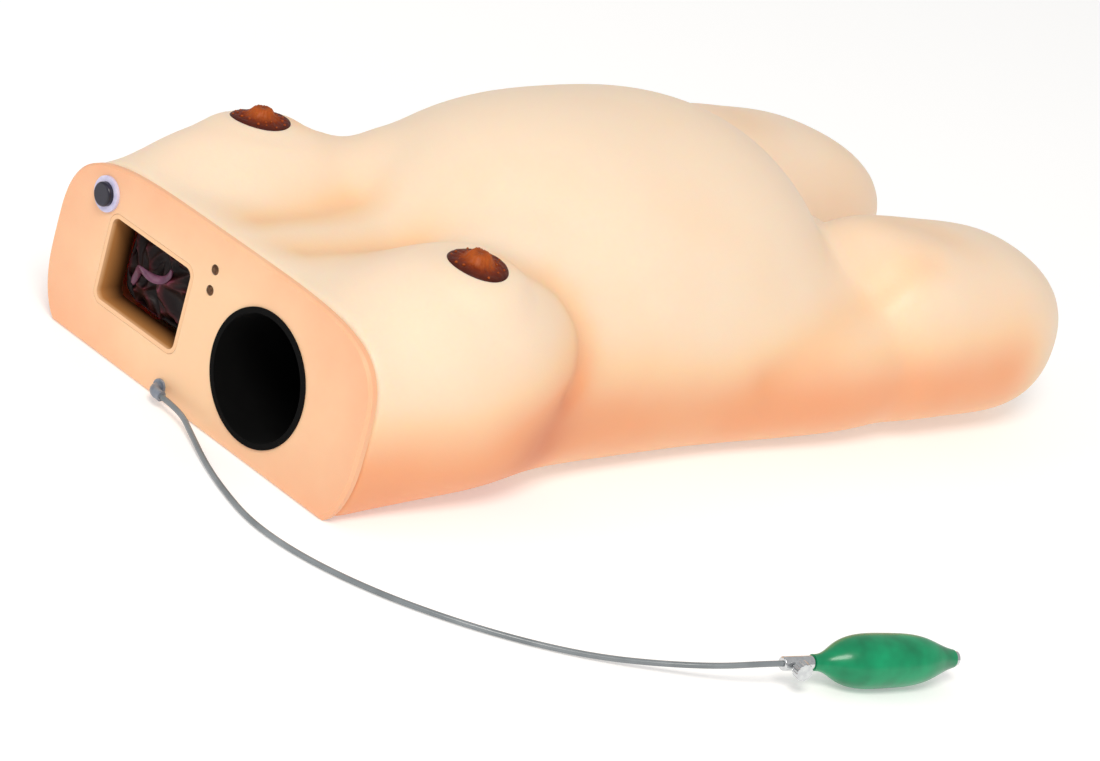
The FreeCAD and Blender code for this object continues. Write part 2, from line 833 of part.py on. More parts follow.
def intake_valve():
    """Plug with an air hole at the far end of the bulb."""
    finish = valve_length + bulb_length
    plug = rod(bulb_axis_place(finish - bulb_wall), bulb_direction(), intake_radius - bulb_wall,
               bulb_wall)
    cap = rod(bulb_axis_place(finish), bulb_direction(), intake_radius * 0.8, intake_length * 0.6)
    hole = rod(bulb_axis_place(finish - bulb_wall - 1), bulb_direction(), 1.0, bulb_wall + intake_length)
    return plug.fuse(cap).removeSplitter().cut(hole)


def bag_place(share):
    """Centre, half width and half height of the air bag at a share of its length."""
    shares = (0.0, 0.18, 0.38, 0.52, 1.0)
    bed_height = cradle_floor + bag_bed_half_height + bag_bed_gap
    outs = (window_out, window_out * 0.8, 0.0, 0.0, 0.0)
    heights = (window_height, window_height, bed_height + 9, bed_height, bed_height)
    wides = (bag_front_half_width, bag_front_half_width, bag_bed_half_width * 0.85,
             bag_bed_half_width, bag_bed_half_width)
    talls = (bag_front_half_height, bag_front_half_height, bag_bed_half_height + 3,
             bag_bed_half_height, bag_bed_half_height)
    return [smooth_value(share, shares, values) for values in (outs, heights, wides, talls)]


def bag_line(share):
    return window_depth + bag_start_gap + bag_length * share


def lift_bag():
    """Soft air bag: gathered in folds behind the window, spread flat on the cradle."""
    wires = []
    for share in (0.0, 0.015, 0.06, 0.12, 0.2, 0.29, 0.38, 0.46, 0.6, 0.8, 0.94, 0.985, 1.0):
        out, height, wide, tall = bag_place(share)
        closing = min(1.0, bag_front_closing + share * 8) * min(1.0, 0.5 + (1 - share) * 7)
        fold = bag_fold_depth * max(0.0, 1 - share * 2.2) * closing
        points = []
        count = bag_folds * 4
        for i in range(count):
            turn = 2 * math.pi * i / count
            ripple = fold * math.cos(bag_folds * turn)
            radius = superellipse(turn, wide, tall, 2.4) * closing + ripple - fold
            points.append(point(bag_line(share), out + radius * math.cos(turn),
                                height + radius * math.sin(turn)))
        curve = Part.BSplineCurve()
        curve.interpolate(Points=points, PeriodicFlag=True)
        wires.append(Part.Wire([curve.toShape()]))
    bag = Part.makeLoft(wires, True, False)
    seat = rod(point(fitting_line, fitting_out, 0), Z, fitting_radius + 2, bag_fitting_top())
    return bag.cut(seat)


def bag_strap():
    """Reinforcing strap bonded across the gathered front of the bag."""
    line = window_depth + bag_start_gap - strap_thickness
    strap = block(line, strap_out, window_height - strap_width / 2, strap_thickness, strap_length,
                  strap_width)
    strap.rotate(point(line, strap_out, window_height), X, strap_lean)
    return strap


def bag_fitting_top():
    """Height at which the bag's underside is cut flat for its filling fitting."""
    return window_height - bag_front_half_height + 3


def bag_fitting():
    """Barbed fitting that lets the air into the underside of the bag."""
    top = bag_fitting_top()
    body = rod(point(fitting_line, fitting_out, top - 4), Z, fitting_radius, 4)
    barb = Part.makeCone(fitting_radius * 0.55, fitting_radius * 0.8, fitting_length - 4,
                         point(fitting_line, fitting_out, top - fitting_length), Z)
    return body.fuse(barb).removeSplitter()


def inner_tube():
    """Tube from the elbow, along the board and up to the fitting."""
    route = (
        (panel_thickness + elbow_tail, elbow_out, elbow_height),
        (fitting_line, elbow_out, elbow_height),
        (fitting_line, fitting_out, elbow_height),
        (fitting_line, fitting_out, bag_fitting_top() - fitting_length),
    )
    path, radii = cord_path(route)
    start = point(*route[0])
    return path.makePipeShell([Part.Wire([Part.makeCircle(tube_radius, start, X)])], True, True)


def foam_cradle():
    """Foam block on the base board with a trough that the bag and the doll lie in."""
    trough_half_width = bag_bed_half_width + bag_side_gap
    foam = block(cradle_start, 0, board_thickness, cradle_length,
                 2 * (trough_half_width + cradle_wall), cradle_height - board_thickness)
    trough = block(cradle_start - 1, 0, cradle_floor, cradle_length + 2, 2 * trough_half_width,
                   cradle_height)
    bottom_edges = [e for e in trough.Edges
                    if abs(e.tangentAt(e.FirstParameter).x) > 0.99 and e.BoundBox.ZMax < cradle_floor + 0.1]
    return foam.cut(trough.makeFillet(2.0, bottom_edges))


def ball(place, radius):
    return Part.makeSphere(radius, place)


def limb(joints, radius):
    """A round-ended limb that runs from joint to joint."""
    solid = ball(joints[0], radius)
    for start, finish in zip(joints[:-1], joints[1:]):
        along = finish - start
        solid = solid.fuse(rod(start, along, radius, along.Length)).fuse(ball(finish, radius))
    return solid


def egg(centre, half_length, radius):
    """A body of revolution along the torso whose profile is half an ellipse."""
    ellipse = Part.Ellipse(FreeCAD.Vector(0, 0, 0), half_length, radius)
    half = Part.ArcOfEllipse(ellipse, 0, math.pi).toShape()
    closing = Part.makeLine(half.Vertexes[-1].Point, half.Vertexes[0].Point)
    solid = Part.Face(Part.Wire([half, closing])).revolve(FreeCAD.Vector(0, 0, 0), X, 360)
    solid.translate(centre)
    return solid


def practice_doll():
    """Curled baby doll with a plain head, lying head down on the bag."""
    bed = cradle_floor + bag_bed_gap + 2 * bag_bed_half_height + doll_gap
    body_height = bed + doll_body_radius
    body = egg(point(doll_body_line, 0, body_height), doll_body_half_length, doll_body_radius)
    head = ball(point(doll_head_line, 0, bed + doll_head_radius), doll_head_radius)
    doll = body.fuse(head)
    rump = doll_body_line - doll_body_half_length * 0.6
    for side in (-1, 1):
        hip = point(rump, side * doll_body_radius * 0.5, body_height + doll_body_radius * 0.2)
        knee = point(doll_body_line + 6, side * doll_body_radius * 0.7, body_height + doll_body_radius)
        foot = point(rump + 4, side * doll_body_radius * 0.2,
                     body_height + doll_body_radius + doll_limb_radius)
        shoulder = point(doll_body_line + doll_body_half_length * 0.5, side * doll_body_radius * 0.7,
                         body_height + doll_body_radius * 0.4)
        hand = point(doll_body_line + doll_body_half_length * 0.4, side * doll_limb_radius * 0.6,
                     body_height + doll_body_radius + doll_limb_radius * 0.5)
        doll = doll.fuse(limb((hip, knee, foot), doll_limb_radius))
        doll = doll.fuse(limb((shoulder, hand), doll_limb_radius))
    return doll.removeSplitter()


def sound_unit():
    """Sealed box that makes the heart sound, standing on the base board."""
    box = block(sound_start, sound_out, board_thickness, sound_length, sound_width, sound_height)
    upright = [e for e in box.Edges if abs(e.tangentAt(e.FirstParameter).z) > 0.99]
    return box.makeFillet(4.0, upright)


def switch_lead():
    """Lead from the switch, down behind the window and into the side of the sound unit."""
    side = sound_out + sound_width / 2
    entry = sound_start + sound_length * 0.2
    half = board_thickness + sound_height / 2
    route = (
        (panel_thickness + switch_length, button_out, button_height),
        (panel_thickness + switch_length + lead_straight, button_out, button_height),
        (entry - lead_bow, button_out, button_height - lead_straight),
        (entry, button_out, (button_height + half) / 2),
        (entry, side + lead_straight, half),
        (entry, side, half),
    )
    path, radii = cord_path(route)
    start = point(*route[0])
    return path.makePipeShell([Part.Wire([Part.makeCircle(lead_radius, start, X)])], True, True)


os.makedirs("parts", exist_ok=True)
screws, holes = screws_and_holes()
board = board_outline(0.0).extrude(Z * board_thickness)
for hole in holes:
    board = board.cut(hole)
save(torso_skin(holes), "torso_skin")
save(board, "base_board")
save(screws, "base_screws")
save(end_panel(), "end_panel")
save(Part.makeCompound([panel_screw(foot, 0.0) for foot in panel_screw_places()]), "panel_screws")
save(end_batten(), "panel_batten")
save(window_liner(), "window_liner")
save(port_collar(), "port_collar")
save(port_sleeve(), "port_sleeve")
save(button_bezel(), "button_bezel")
save(button_cap(), "button_cap")
save(switch_body(), "switch_body")
save(nipple_insert(1), "left_nipple")
save(nipple_insert(-1), "right_nipple")
save(elbow(), "tube_elbow")
save(air_tube(), "air_tube")
save(valve_body(), "valve_body")
save(release_screw(), "release_screw")
save(squeeze_bulb(), "squeeze_bulb")
save(intake_valve(), "intake_valve")
save(lift_bag(), "lift_bag")
save(bag_strap(), "bag_strap")
save(bag_fitting(), "bag_fitting")
save(inner_tube(), "inner_tube")
save(foam_cradle(), "foam_cradle")
save(practice_doll(), "practice_doll")
save(sound_unit(), "sound_unit")
save(switch_lead(), "switch_lead")
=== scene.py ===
# %% [markdown]
# # A maternity examination model, dressed in Blender
# The real object is a life-size half body of soft vinyl that lies on its back.
# Students feel the doll inside its belly. The chest end is closed by a panel
# with a window, a round port and a push button, and a squeeze bulb on a thin
# tube fills the air bag inside. The solids come from CAD and stay where they
# are; this lesson gives them their skin, folds and finishes.

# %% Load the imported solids
import bpy
import bmesh
import math
import numpy as np
from mathutils import Matrix, Vector, noise


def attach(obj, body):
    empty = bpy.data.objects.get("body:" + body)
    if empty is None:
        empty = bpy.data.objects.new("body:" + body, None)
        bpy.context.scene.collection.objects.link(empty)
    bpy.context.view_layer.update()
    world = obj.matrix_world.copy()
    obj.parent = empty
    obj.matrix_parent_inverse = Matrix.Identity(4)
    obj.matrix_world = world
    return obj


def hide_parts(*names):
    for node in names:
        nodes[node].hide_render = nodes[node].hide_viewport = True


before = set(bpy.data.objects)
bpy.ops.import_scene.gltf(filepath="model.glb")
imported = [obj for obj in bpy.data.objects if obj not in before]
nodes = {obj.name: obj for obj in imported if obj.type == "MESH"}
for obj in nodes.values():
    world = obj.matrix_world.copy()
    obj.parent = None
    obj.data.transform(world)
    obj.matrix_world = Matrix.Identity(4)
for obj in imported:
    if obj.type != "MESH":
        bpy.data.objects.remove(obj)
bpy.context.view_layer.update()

# %% [markdown]
# Every place on the body is easiest to say as a maker would: so many
# millimetres from the end panel, to the person's left, and above the table.
# Blender works in metres from a point under the middle of the body, so one
# helper turns the first into the second. Another links each new object to
# the scene, because Blender shows only what is linked. Pieces stay at the
# origin and keep their place in their meshes.

# %% Millimetres along, across and up
panel_face = -0.371
belly_crown = (338, 0, 213)


def at(line, out, height):
    """A place said in millimetres as Blender's metres."""
    return Vector((panel_face + line / 1000, out / 1000, height / 1000))


def new_piece(name, data):
    """A new object at the origin that shows a mesh, curve, camera or lamp."""
    piece = bpy.data.objects.new(name, data)
    bpy.context.scene.collection.objects.link(piece)
    return piece


print("middle of the belly crown", tuple(round(x, 3) for x in at(*belly_crown)))

# %% [markdown]
# ## Camera
# The photograph was taken from the chest end's near side, well above the
# table, with a long lens and the camera tipped, so that the body seems to
# slope. The camera is built from its three directions: back towards the
# photographer, right and up, turned by the tip.

# %% Camera
view_turn, view_rise, view_tip = (math.radians(a) for a in (-49.2, 22.1, 16.3))
view_distance = 3.0
sensor_width = 36.0         # mm, a full-frame camera
focal_pixels, picture_width = 4140, 1100
view_aim = Vector((-0.0206, 0.0, -0.0087))
back = Vector((math.sin(view_turn) * math.cos(view_rise),
               -math.cos(view_turn) * math.cos(view_rise), math.sin(view_rise)))
level_right = Vector((math.cos(view_turn), math.sin(view_turn), 0))
level_up = back.cross(level_right)
right = level_right * math.cos(view_tip) + level_up * math.sin(view_tip)
up = level_up * math.cos(view_tip) - level_right * math.sin(view_tip)
lens = bpy.data.cameras.new("photograph view")
lens.sensor_fit = "HORIZONTAL"
lens.sensor_width = sensor_width
lens.lens = sensor_width * focal_pixels / picture_width
camera = new_piece("photograph view", lens)
axes = Matrix((right, up, back)).transposed().to_4x4()
camera.matrix_world = Matrix.Translation(view_aim + back * view_distance) @ axes
bpy.context.scene.camera = camera
print("lens", round(lens.lens, 1), "mm at", view_distance, "m")

# %% [markdown]
# ## Materials from real ones
# Each finish starts from what the real part is made of. Colours are written
# as the hex values a screen shows; one function turns them linear, which is
# what a renderer counts in. One more function adds a node, with its settings
# and its links, so that every recipe below stays short. It serves the
# materials and the Geometry Nodes tree alike.

# %% Colour and node helpers
def colour(hex_code):
    """A screen's hex colour as linear red, green and blue, with full cover."""
    parts = [int(hex_code[i:i + 2], 16) / 255 for i in (1, 3, 5)]
    return tuple(c / 12.92 if c <= 0.04045 else ((c + 0.055) / 1.055) ** 2.4 for c in parts) + (1.0,)


def add(tree, kind, inputs=(), stops=(), **settings):
    """Add one node: its settings, its ramp's stops, and its inputs as values or links."""
    node = tree.nodes.new(kind)
    for name, value in settings.items():
        setattr(node, name, value)
    for i, (position, value) in enumerate(stops):
        element = node.color_ramp.elements[i] if i < 2 else node.color_ramp.elements.new(position)
        element.position = position
        element.color = colour(value)
    for socket, value in inputs:
        if isinstance(value, bpy.types.NodeSocket):
            tree.links.new(value, node.inputs[socket])
        else:
            node.inputs[socket].default_value = value
    return node


def new_finish(name, tint, **fixed):
    """A material with its shader's even values set on the sockets themselves."""
    finish = bpy.data.materials.new(name)
    finish.use_nodes = True
    shader = finish.node_tree.nodes["Principled BSDF"]
    shader.inputs["Base Color"].default_value = colour(tint)
    for socket, value in fixed.items():
        shader.inputs[socket.replace("_", " ")].default_value = value
    return finish, finish.node_tree, shader


def millimetres(size):
    """Noise scale whose grains are about that many millimetres wide."""
    return 1000 / size


print("helpers ready")

# %% [markdown]
# ### Skin
# The skin is soft vinyl, slush moulded and painted inside and out. Light goes
# a few millimetres into it, which makes its shades warm orange instead of
# grey. So the shader scatters light under the surface, and the colour runs
# from cream on the crowns to a painted warm shade low on the flanks and in
# the folds, where shade falls. The painted shade's strength comes from an
# attribute that the sculpting step writes, and a slow noise keeps it from
# looking even. Fine pores dull the gloss.

# %% Skin vinyl
# red light goes furthest into soft vinyl, blue least
skin_finish, tree, shader = new_finish("slush moulded vinyl skin", "#F6D6B2", Roughness=0.46, IOR=1.46,
                                       Subsurface_Weight=0.35, Subsurface_Scale=0.012,
                                       Subsurface_Radius=(1.0, 0.42, 0.18))
place = add(tree, "ShaderNodeTexCoord").outputs["Object"]
blotch = add(tree, "ShaderNodeTexNoise", [("Vector", place), ("Scale", millimetres(90)), ("Detail", 2.0)])
# painted shade, low on the flanks and in the folds, read from the sculpting step's attribute
painted_shade = add(tree, "ShaderNodeAttribute", attribute_name="painted_shade")
spread = add(tree, "ShaderNodeMath", [(0, blotch.outputs["Fac"]), (1, 0.16), (2, -0.08)],
             operation="MULTIPLY_ADD")
uneven = add(tree, "ShaderNodeMath", [(0, spread.outputs[0]), (1, painted_shade.outputs["Fac"])], operation="ADD")
# cream on the crowns, running to a shaded orange where the painted shade is strongest
cream_to_shade = add(tree, "ShaderNodeValToRGB", [("Fac", uneven.outputs[0])],
            stops=[(0.0, "#F5DBC0"), (1.0, "#CC6A3C"), (0.2, "#F5CBA2"), (0.5, "#EEA577")])
tree.links.new(cream_to_shade.outputs["Color"], shader.inputs["Base Color"])
pores = add(tree, "ShaderNodeTexNoise", [("Vector", place), ("Scale", millimetres(3)), ("Detail", 3.0)])
dimpled = add(tree, "ShaderNodeBump",
              [("Height", pores.outputs["Fac"]), ("Distance", 0.0002), ("Strength", 0.5)])
tree.links.new(dimpled.outputs["Normal"], shader.inputs["Normal"])
print(skin_finish.name)

# %% [markdown]
# ### Panel, liner and nipples
# The end panel is the same vinyl as a flat sheet. It is plain in the middle
# and has painted shade towards its rim, so its tint grows with the distance
# from its middle, measured in half widths and half heights. The liner of the
# window has painted shade that deepens with depth, as in a narrow well. The
# nipples are harder tinted vinyl with a satin skin, warmest round the tip and
# dark at the rim.

# %% Panel vinyl
panel_half_width, panel_half_height, panel_middle = 0.175, 0.085, 0.72
panel_finish, tree, shader = new_finish("vinyl sheet panel", "#F3CDA6", Roughness=0.48, IOR=1.46,
                                        Subsurface_Weight=0.2, Subsurface_Scale=0.006,
                                        Subsurface_Radius=(1.0, 0.4, 0.2))
place = add(tree, "ShaderNodeTexCoord").outputs["Object"]
blotch = add(tree, "ShaderNodeTexNoise", [("Vector", place), ("Scale", millimetres(45)), ("Detail", 3.0)])
# painted shade: the tint warms and darkens from the middle out towards the rim
from_middle = add(tree, "ShaderNodeVectorMath",
                  [(0, place), (1, (0.0, 1 / panel_half_width, 1 / panel_half_height)),
                   (2, (0, 0, -panel_middle))], operation="MULTIPLY_ADD")
reach = add(tree, "ShaderNodeVectorMath", [(0, from_middle.outputs[0])], operation="LENGTH")
spread = add(tree, "ShaderNodeMath", [(0, blotch.outputs["Fac"]), (1, 0.5), (2, -0.3)],
             operation="MULTIPLY_ADD")
uneven = add(tree, "ShaderNodeMath", [(0, spread.outputs[0]), (1, reach.outputs["Value"])], operation="ADD")
tint = add(tree, "ShaderNodeValToRGB", [("Fac", uneven.outputs[0])],
           stops=[(0.4, "#F4C9A0"), (1.0, "#EDB189")])
tree.links.new(tint.outputs["Color"], shader.inputs["Base Color"])
pores = add(tree, "ShaderNodeTexNoise", [("Vector", place), ("Scale", millimetres(2)), ("Detail", 2.0)])
dimpled = add(tree, "ShaderNodeBump",
              [("Height", pores.outputs["Fac"]), ("Distance", 0.00015), ("Strength", 0.4)])
tree.links.new(dimpled.outputs["Normal"], shader.inputs["Normal"])
print(panel_finish.name)

# %% Liner vinyl
dark_depth = 0.020          # m behind the panel where the liner is darkest
liner_finish, tree, shader = new_finish("moulded vinyl liner", "#DDAF74", Roughness=0.42, IOR=1.46)
place = add(tree, "ShaderNodeTexCoord").outputs["Object"]
depth = add(tree, "ShaderNodeSeparateXYZ", [("Vector", place)])
inward = add(tree, "ShaderNodeMapRange", [("Value", depth.outputs["X"]), ("From Min", panel_face),
                                          ("From Max", panel_face + dark_depth)])
# painted shade: pale at the panel, near black at the back of the well
tint = add(tree, "ShaderNodeValToRGB", [("Fac", inward.outputs["Result"])],
           stops=[(0.0, "#EEBF93"), (1.0, "#3A1E0B"), (0.08, "#E6B17E"), (0.22, "#BC8149")])
tree.links.new(tint.outputs["Color"], shader.inputs["Base Color"])
print(liner_finish.name)

# %% Nipple vinyl
# the ring attribute is 0 on the tip and 1 at the rim
nipple_finish, tree, shader = new_finish("tinted moulded vinyl", "#8A3A1C", Roughness=0.5, IOR=1.48,
                                         Subsurface_Weight=0.12, Subsurface_Scale=0.004,
                                         Specular_IOR_Level=0.2, Coat_Weight=0.05, Coat_Roughness=0.3)
place = add(tree, "ShaderNodeTexCoord").outputs["Object"]
ring = add(tree, "ShaderNodeAttribute", attribute_name="ring")
blotch = add(tree, "ShaderNodeTexNoise", [("Vector", place), ("Scale", millimetres(5)), ("Detail", 3.0)])
spread = add(tree, "ShaderNodeMath", [(0, blotch.outputs["Fac"]), (1, 0.3), (2, -0.15)],
             operation="MULTIPLY_ADD")
uneven = add(tree, "ShaderNodeMath", [(0, spread.outputs[0]), (1, ring.outputs["Fac"])], operation="ADD")
tint = add(tree, "ShaderNodeValToRGB", [("Fac", uneven.outputs[0])],
           stops=[(0.0, "#864020"), (1.0, "#421002"), (0.34, "#AC5014"), (0.64, "#702604")])
tree.links.new(tint.outputs["Color"], shader.inputs["Base Color"])
creased = add(tree, "ShaderNodeTexNoise", [("Vector", place), ("Scale", millimetres(2)), ("Detail", 4.0)])
dimpled = add(tree, "ShaderNodeBump",
              [("Height", creased.outputs["Fac"]), ("Distance", 0.0006), ("Strength", 0.7)])
tree.links.new(dimpled.outputs["Normal"], shader.inputs["Normal"])
print(nipple_finish.name)

# %% [markdown]
# ### Rubbers
# The port and its sleeve are matt black rubber with a faint grey bloom, so
# the hole swallows the light. The air bag is dipped dark maroon latex, with
# painted shade nearly black in its valleys and a paler painted highlight on
# its ridges, which an attribute from the crumple's height says. Its pull
# strap is the same latex, paler for being thin. The bulb is moulded in green
# rubber and keeps a small clear highlight.

# %% Port rubber
port_finish, tree, shader = new_finish("matt black moulded rubber", "#020202", Roughness=0.9, IOR=1.5,
                                       Specular_IOR_Level=0.15)
place = add(tree, "ShaderNodeTexCoord").outputs["Object"]
bloom = add(tree, "ShaderNodeTexNoise", [("Vector", place), ("Scale", millimetres(12)), ("Detail", 3.0)])
dull = add(tree, "ShaderNodeValToRGB", [("Fac", bloom.outputs["Fac"])],
           stops=[(0.3, "#010101"), (0.8, "#040404")])
tree.links.new(dull.outputs["Color"], shader.inputs["Base Color"])
print(port_finish.name)

# %% Bag and strap latex
bag_finish, tree, shader = new_finish("dipped latex sheet", "#2A0A10", Roughness=0.5, IOR=1.52,
                                      Specular_IOR_Level=0.2, Coat_Weight=0.05, Coat_Roughness=0.3)
place = add(tree, "ShaderNodeTexCoord").outputs["Object"]
ridge_and_shade = add(tree, "ShaderNodeAttribute", attribute_name="ridge_and_shade")
# painted light: near black painted shade in the valleys, a paler painted highlight on the ridges
tint = add(tree, "ShaderNodeValToRGB", [("Fac", ridge_and_shade.outputs["Fac"])],
           stops=[(0.0, "#030001"), (1.0, "#6C2A40"), (0.66, "#160204"), (0.9, "#3E0D14")])
tree.links.new(tint.outputs["Color"], shader.inputs["Base Color"])
puckers = add(tree, "ShaderNodeTexNoise", [("Vector", place), ("Scale", millimetres(7)), ("Detail", 3.0)])
dimpled = add(tree, "ShaderNodeBump",
              [("Height", puckers.outputs["Fac"]), ("Distance", 0.001), ("Strength", 0.5)])
tree.links.new(dimpled.outputs["Normal"], shader.inputs["Normal"])

strap_finish, tree, shader = new_finish("moulded latex strap", "#9A6580", Roughness=0.35, IOR=1.52)
place = add(tree, "ShaderNodeTexCoord").outputs["Object"]
streak = add(tree, "ShaderNodeTexNoise", [("Vector", place), ("Scale", millimetres(10)), ("Detail", 2.0)])
tint = add(tree, "ShaderNodeValToRGB", [("Fac", streak.outputs["Fac"])],
           stops=[(0.3, "#45203A"), (0.7, "#70405C")])
tree.links.new(tint.outputs["Color"], shader.inputs["Base Color"])
print(bag_finish.name, "/", strap_finish.name)

# %% Bulb rubber
bulb_finish, tree, shader = new_finish("glossy moulded rubber", "#006A44", Roughness=0.3, IOR=1.5,
                                       Specular_IOR_Level=0.35, Coat_Weight=0.15, Coat_Roughness=0.1)
place = add(tree, "ShaderNodeTexCoord").outputs["Object"]
bloom = add(tree, "ShaderNodeTexNoise", [("Vector", place), ("Scale", millimetres(20)), ("Detail", 2.0)])
tint = add(tree, "ShaderNodeValToRGB", [("Fac", bloom.outputs["Fac"])],
           stops=[(0.3, "#007048"), (0.7, "#009663")])
tree.links.new(tint.outputs["Color"], shader.inputs["Base Color"])
mould_grain = add(tree, "ShaderNodeTexNoise", [("Vector", place), ("Scale", millimetres(4)), ("Detail", 2.0)])
dimpled = add(tree, "ShaderNodeBump",
              [("Height", mould_grain.outputs["Fac"]), ("Distance", 0.0002), ("Strength", 0.3)])
tree.links.new(dimpled.outputs["Normal"], shader.inputs["Normal"])
print(bulb_finish.name)

# %% [markdown]
# ### Plain finishes
# The small parts differ only in a few numbers, so one recipe makes them all:
# two near tints mixed by a noise of the material's own grain, and a shallow
# bump from the same noise. The tube's clear vinyl looks grey over a white
# table. Acetal and its pale bezel keep a soft gloss, plated brass mirrors the
# room, zinc and bronzed steel are duller, sealed plywood shows slow grain,
# and open foam is quite matt with a rough skin.

# %% Plastics, metal, wood and foam
# name, tint, roughness, metallic, second tint, grain in mm, bump depth in mm
plain_finishes = {
    "clear vinyl tubing": ("#6E7478", 0.25, 0.0, "#888E92", 30, 0.0),
    "moulded grey elbow": ("#6A7280", 0.35, 0.0, "#858D99", 6, 0.05),
    "navy moulded acetal": ("#120F1E", 0.28, 0.0, "#1C1930", 5, 0.03),
    "pale moulded bezel": ("#BDB8DC", 0.3, 0.0, "#DAD6EE", 6, 0.03),
    "black moulded ABS": ("#232528", 0.5, 0.0, "#2F3236", 4, 0.05),
    "plated brass": ("#DADCDD", 0.14, 1.0, "#C7C9CC", 3, 0.02),
    "bronzed steel screw": ("#7B5B44", 0.35, 1.0, "#4E382B", 2, 0.05),
    "zinc plated steel": ("#AFB1B4", 0.35, 1.0, "#8E9094", 3, 0.05),
    "sealed birch plywood": ("#CDB48C", 0.5, 0.0, "#B69A70", 12, 0.1),
    "open cell foam": ("#E8DFC8", 0.95, 0.0, "#D3C7A9", 3, 0.8),
    "doll vinyl": ("#DDAA82", 0.45, 0.0, "#E8BC97", 15, 0.05),
    "white nylon fitting": ("#E9E6DF", 0.4, 0.0, "#DAD6CC", 4, 0.03),
    "black rubber lead": ("#1B1B1D", 0.55, 0.0, "#262629", 3, 0.05),
}
finishes = {}
for name, (tint, rough, metal, second, size, bump_depth) in plain_finishes.items():
    finish, tree, shader = new_finish(name, tint, Roughness=rough, Metallic=metal)
    place = add(tree, "ShaderNodeTexCoord").outputs["Object"]
    speck = add(tree, "ShaderNodeTexNoise",
                [("Vector", place), ("Scale", millimetres(size)), ("Detail", 3.0)])
    mixed = add(tree, "ShaderNodeValToRGB", [("Fac", speck.outputs["Fac"])],
                stops=[(0.3, tint), (0.7, second)])
    tree.links.new(mixed.outputs["Color"], shader.inputs["Base Color"])
    if bump_depth:
        dimpled = add(tree, "ShaderNodeBump",
                      [("Height", speck.outputs["Fac"]), ("Distance", bump_depth / 1000), ("Strength", 0.5)])
        tree.links.new(dimpled.outputs["Normal"], shader.inputs["Normal"])
    finishes[name] = finish
print("plain finishes", len(finishes))

# %% [markdown]
# ## The air tube
# A thin limp tube leaves the moulded elbow under the window, drops to the
# table and sweeps round in one easy arc to the valve. A NURBS curve is the
# right tool for it: a few listed points pull one smooth line, and a
# round bevel gives it its thickness. The photograph shows it from end to
# end, so its real length is known.

# %% Air tube
tube_route = [(-9, 13, 9), (-9, -8, 9), (-17, -32, 4.6), (-31, -66, 2), (-43.5, -102, 2),
              (-53, -142, 2), (-49, -188, 2), (-31, -238, 2), (-3, -283, 2), (28, -319, 2),
              (62, -349, 2.6), (95, -373, 6), (124, -396, 12.5), (149.4, -409.8, 18), (163, -413, 18)]
tube_radius = 0.002
smooth_steps, round_steps = 16, 5
line = bpy.data.curves.new("air_tube_line", "CURVE")
line.dimensions = "3D"
spline = line.splines.new("NURBS")
spline.points.add(len(tube_route) - 1)
for knot, spot in zip(spline.points, tube_route):
    knot.co = (*at(*spot), 1)
spline.order_u = 3
spline.use_endpoint_u = True
spline.resolution_u = smooth_steps
line.bevel_depth = tube_radius
line.bevel_resolution = round_steps
line.use_fill_caps = True
line.materials.append(finishes["clear vinyl tubing"])
tube = new_piece("limp_air_tube", line)
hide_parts("air_tube")
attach(tube, "torso")
print("tube points", len(tube_route))

# %% [markdown]
# ## Sculpting the skin
# The CAD skin has the right forms, but its creases are hard and its faces
# are long triangles. A sculptor would remesh it first: voxels turn it into
# an even net that any later press can shape. The CAD mesh itself stays as it
# is, so all of this happens on a copy whose loose triangles are merged.

# %% An even net over the CAD skin
weld_distance = 2e-5
skin_voxel = 0.0046


def plain_copy(node, name):
    """A merged copy of a CAD node's mesh as a new object."""
    mesh = nodes[node].data.copy()
    net = bmesh.new()
    net.from_mesh(mesh)
    bmesh.ops.remove_doubles(net, verts=net.verts, dist=weld_distance)
    net.to_mesh(mesh)
    net.free()
    mesh.materials.clear()
    return new_piece(name, mesh)


def bake(piece):
    """The piece with its modifiers made real and taken off."""
    graph = bpy.context.evaluated_depsgraph_get()
    mesh = bpy.data.meshes.new_from_object(piece.evaluated_get(graph))
    piece.modifiers.clear()
    piece.data = mesh
    return piece


def even_net(piece, voxel):
    """The piece's mesh made again from voxels of that size in metres."""
    even = piece.modifiers.new("even net", "REMESH")
    even.mode = "VOXEL"
    even.voxel_size = voxel
    even.use_smooth_shade = True
    return bake(piece)


skin = even_net(plain_copy("torso_skin", "moulded_skin"), skin_voxel)
print("skin faces", len(skin.data.polygons))

# %% [markdown]
# A few rounds of averaging melt the seams between trunk and thighs, as soft
# vinyl does in its mould: each point moves part of the way to the middle of
# its neighbours. All points move at once in arrays, because a loop over so
# many of them would be slow. Distances to a line on the body are measured in
# millimetres from the panel, from the midline and above the table.

# %% Read, average and measure points
def read_points(mesh):
    flat = np.empty(len(mesh.vertices) * 3, np.float32)
    mesh.vertices.foreach_get("co", flat)
    return flat.reshape(-1, 3).astype(float)


def write_points(mesh, points):
    mesh.vertices.foreach_set("co", points.astype(np.float32).ravel())
    mesh.update()


def averaged(mesh, points, rounds, share):
    """Each point moves part of the way to the middle of its neighbours."""
    ends = np.empty(len(mesh.edges) * 2, np.int32)
    mesh.edges.foreach_get("vertices", ends)
    a, b = ends.reshape(-1, 2).T
    count = np.bincount(ends, minlength=len(points))[:, None]
    for _ in range(rounds):
        total = np.zeros_like(points)
        np.add.at(total, a, points[b])
        np.add.at(total, b, points[a])
        points = points + (total / np.maximum(count, 1) - points) * share
    return points


def along_body(points):
    """Metres to millimetres from the panel, from the midline and above the table."""
    body = points * 1000
    body[:, 0] -= panel_face * 1000
    return body


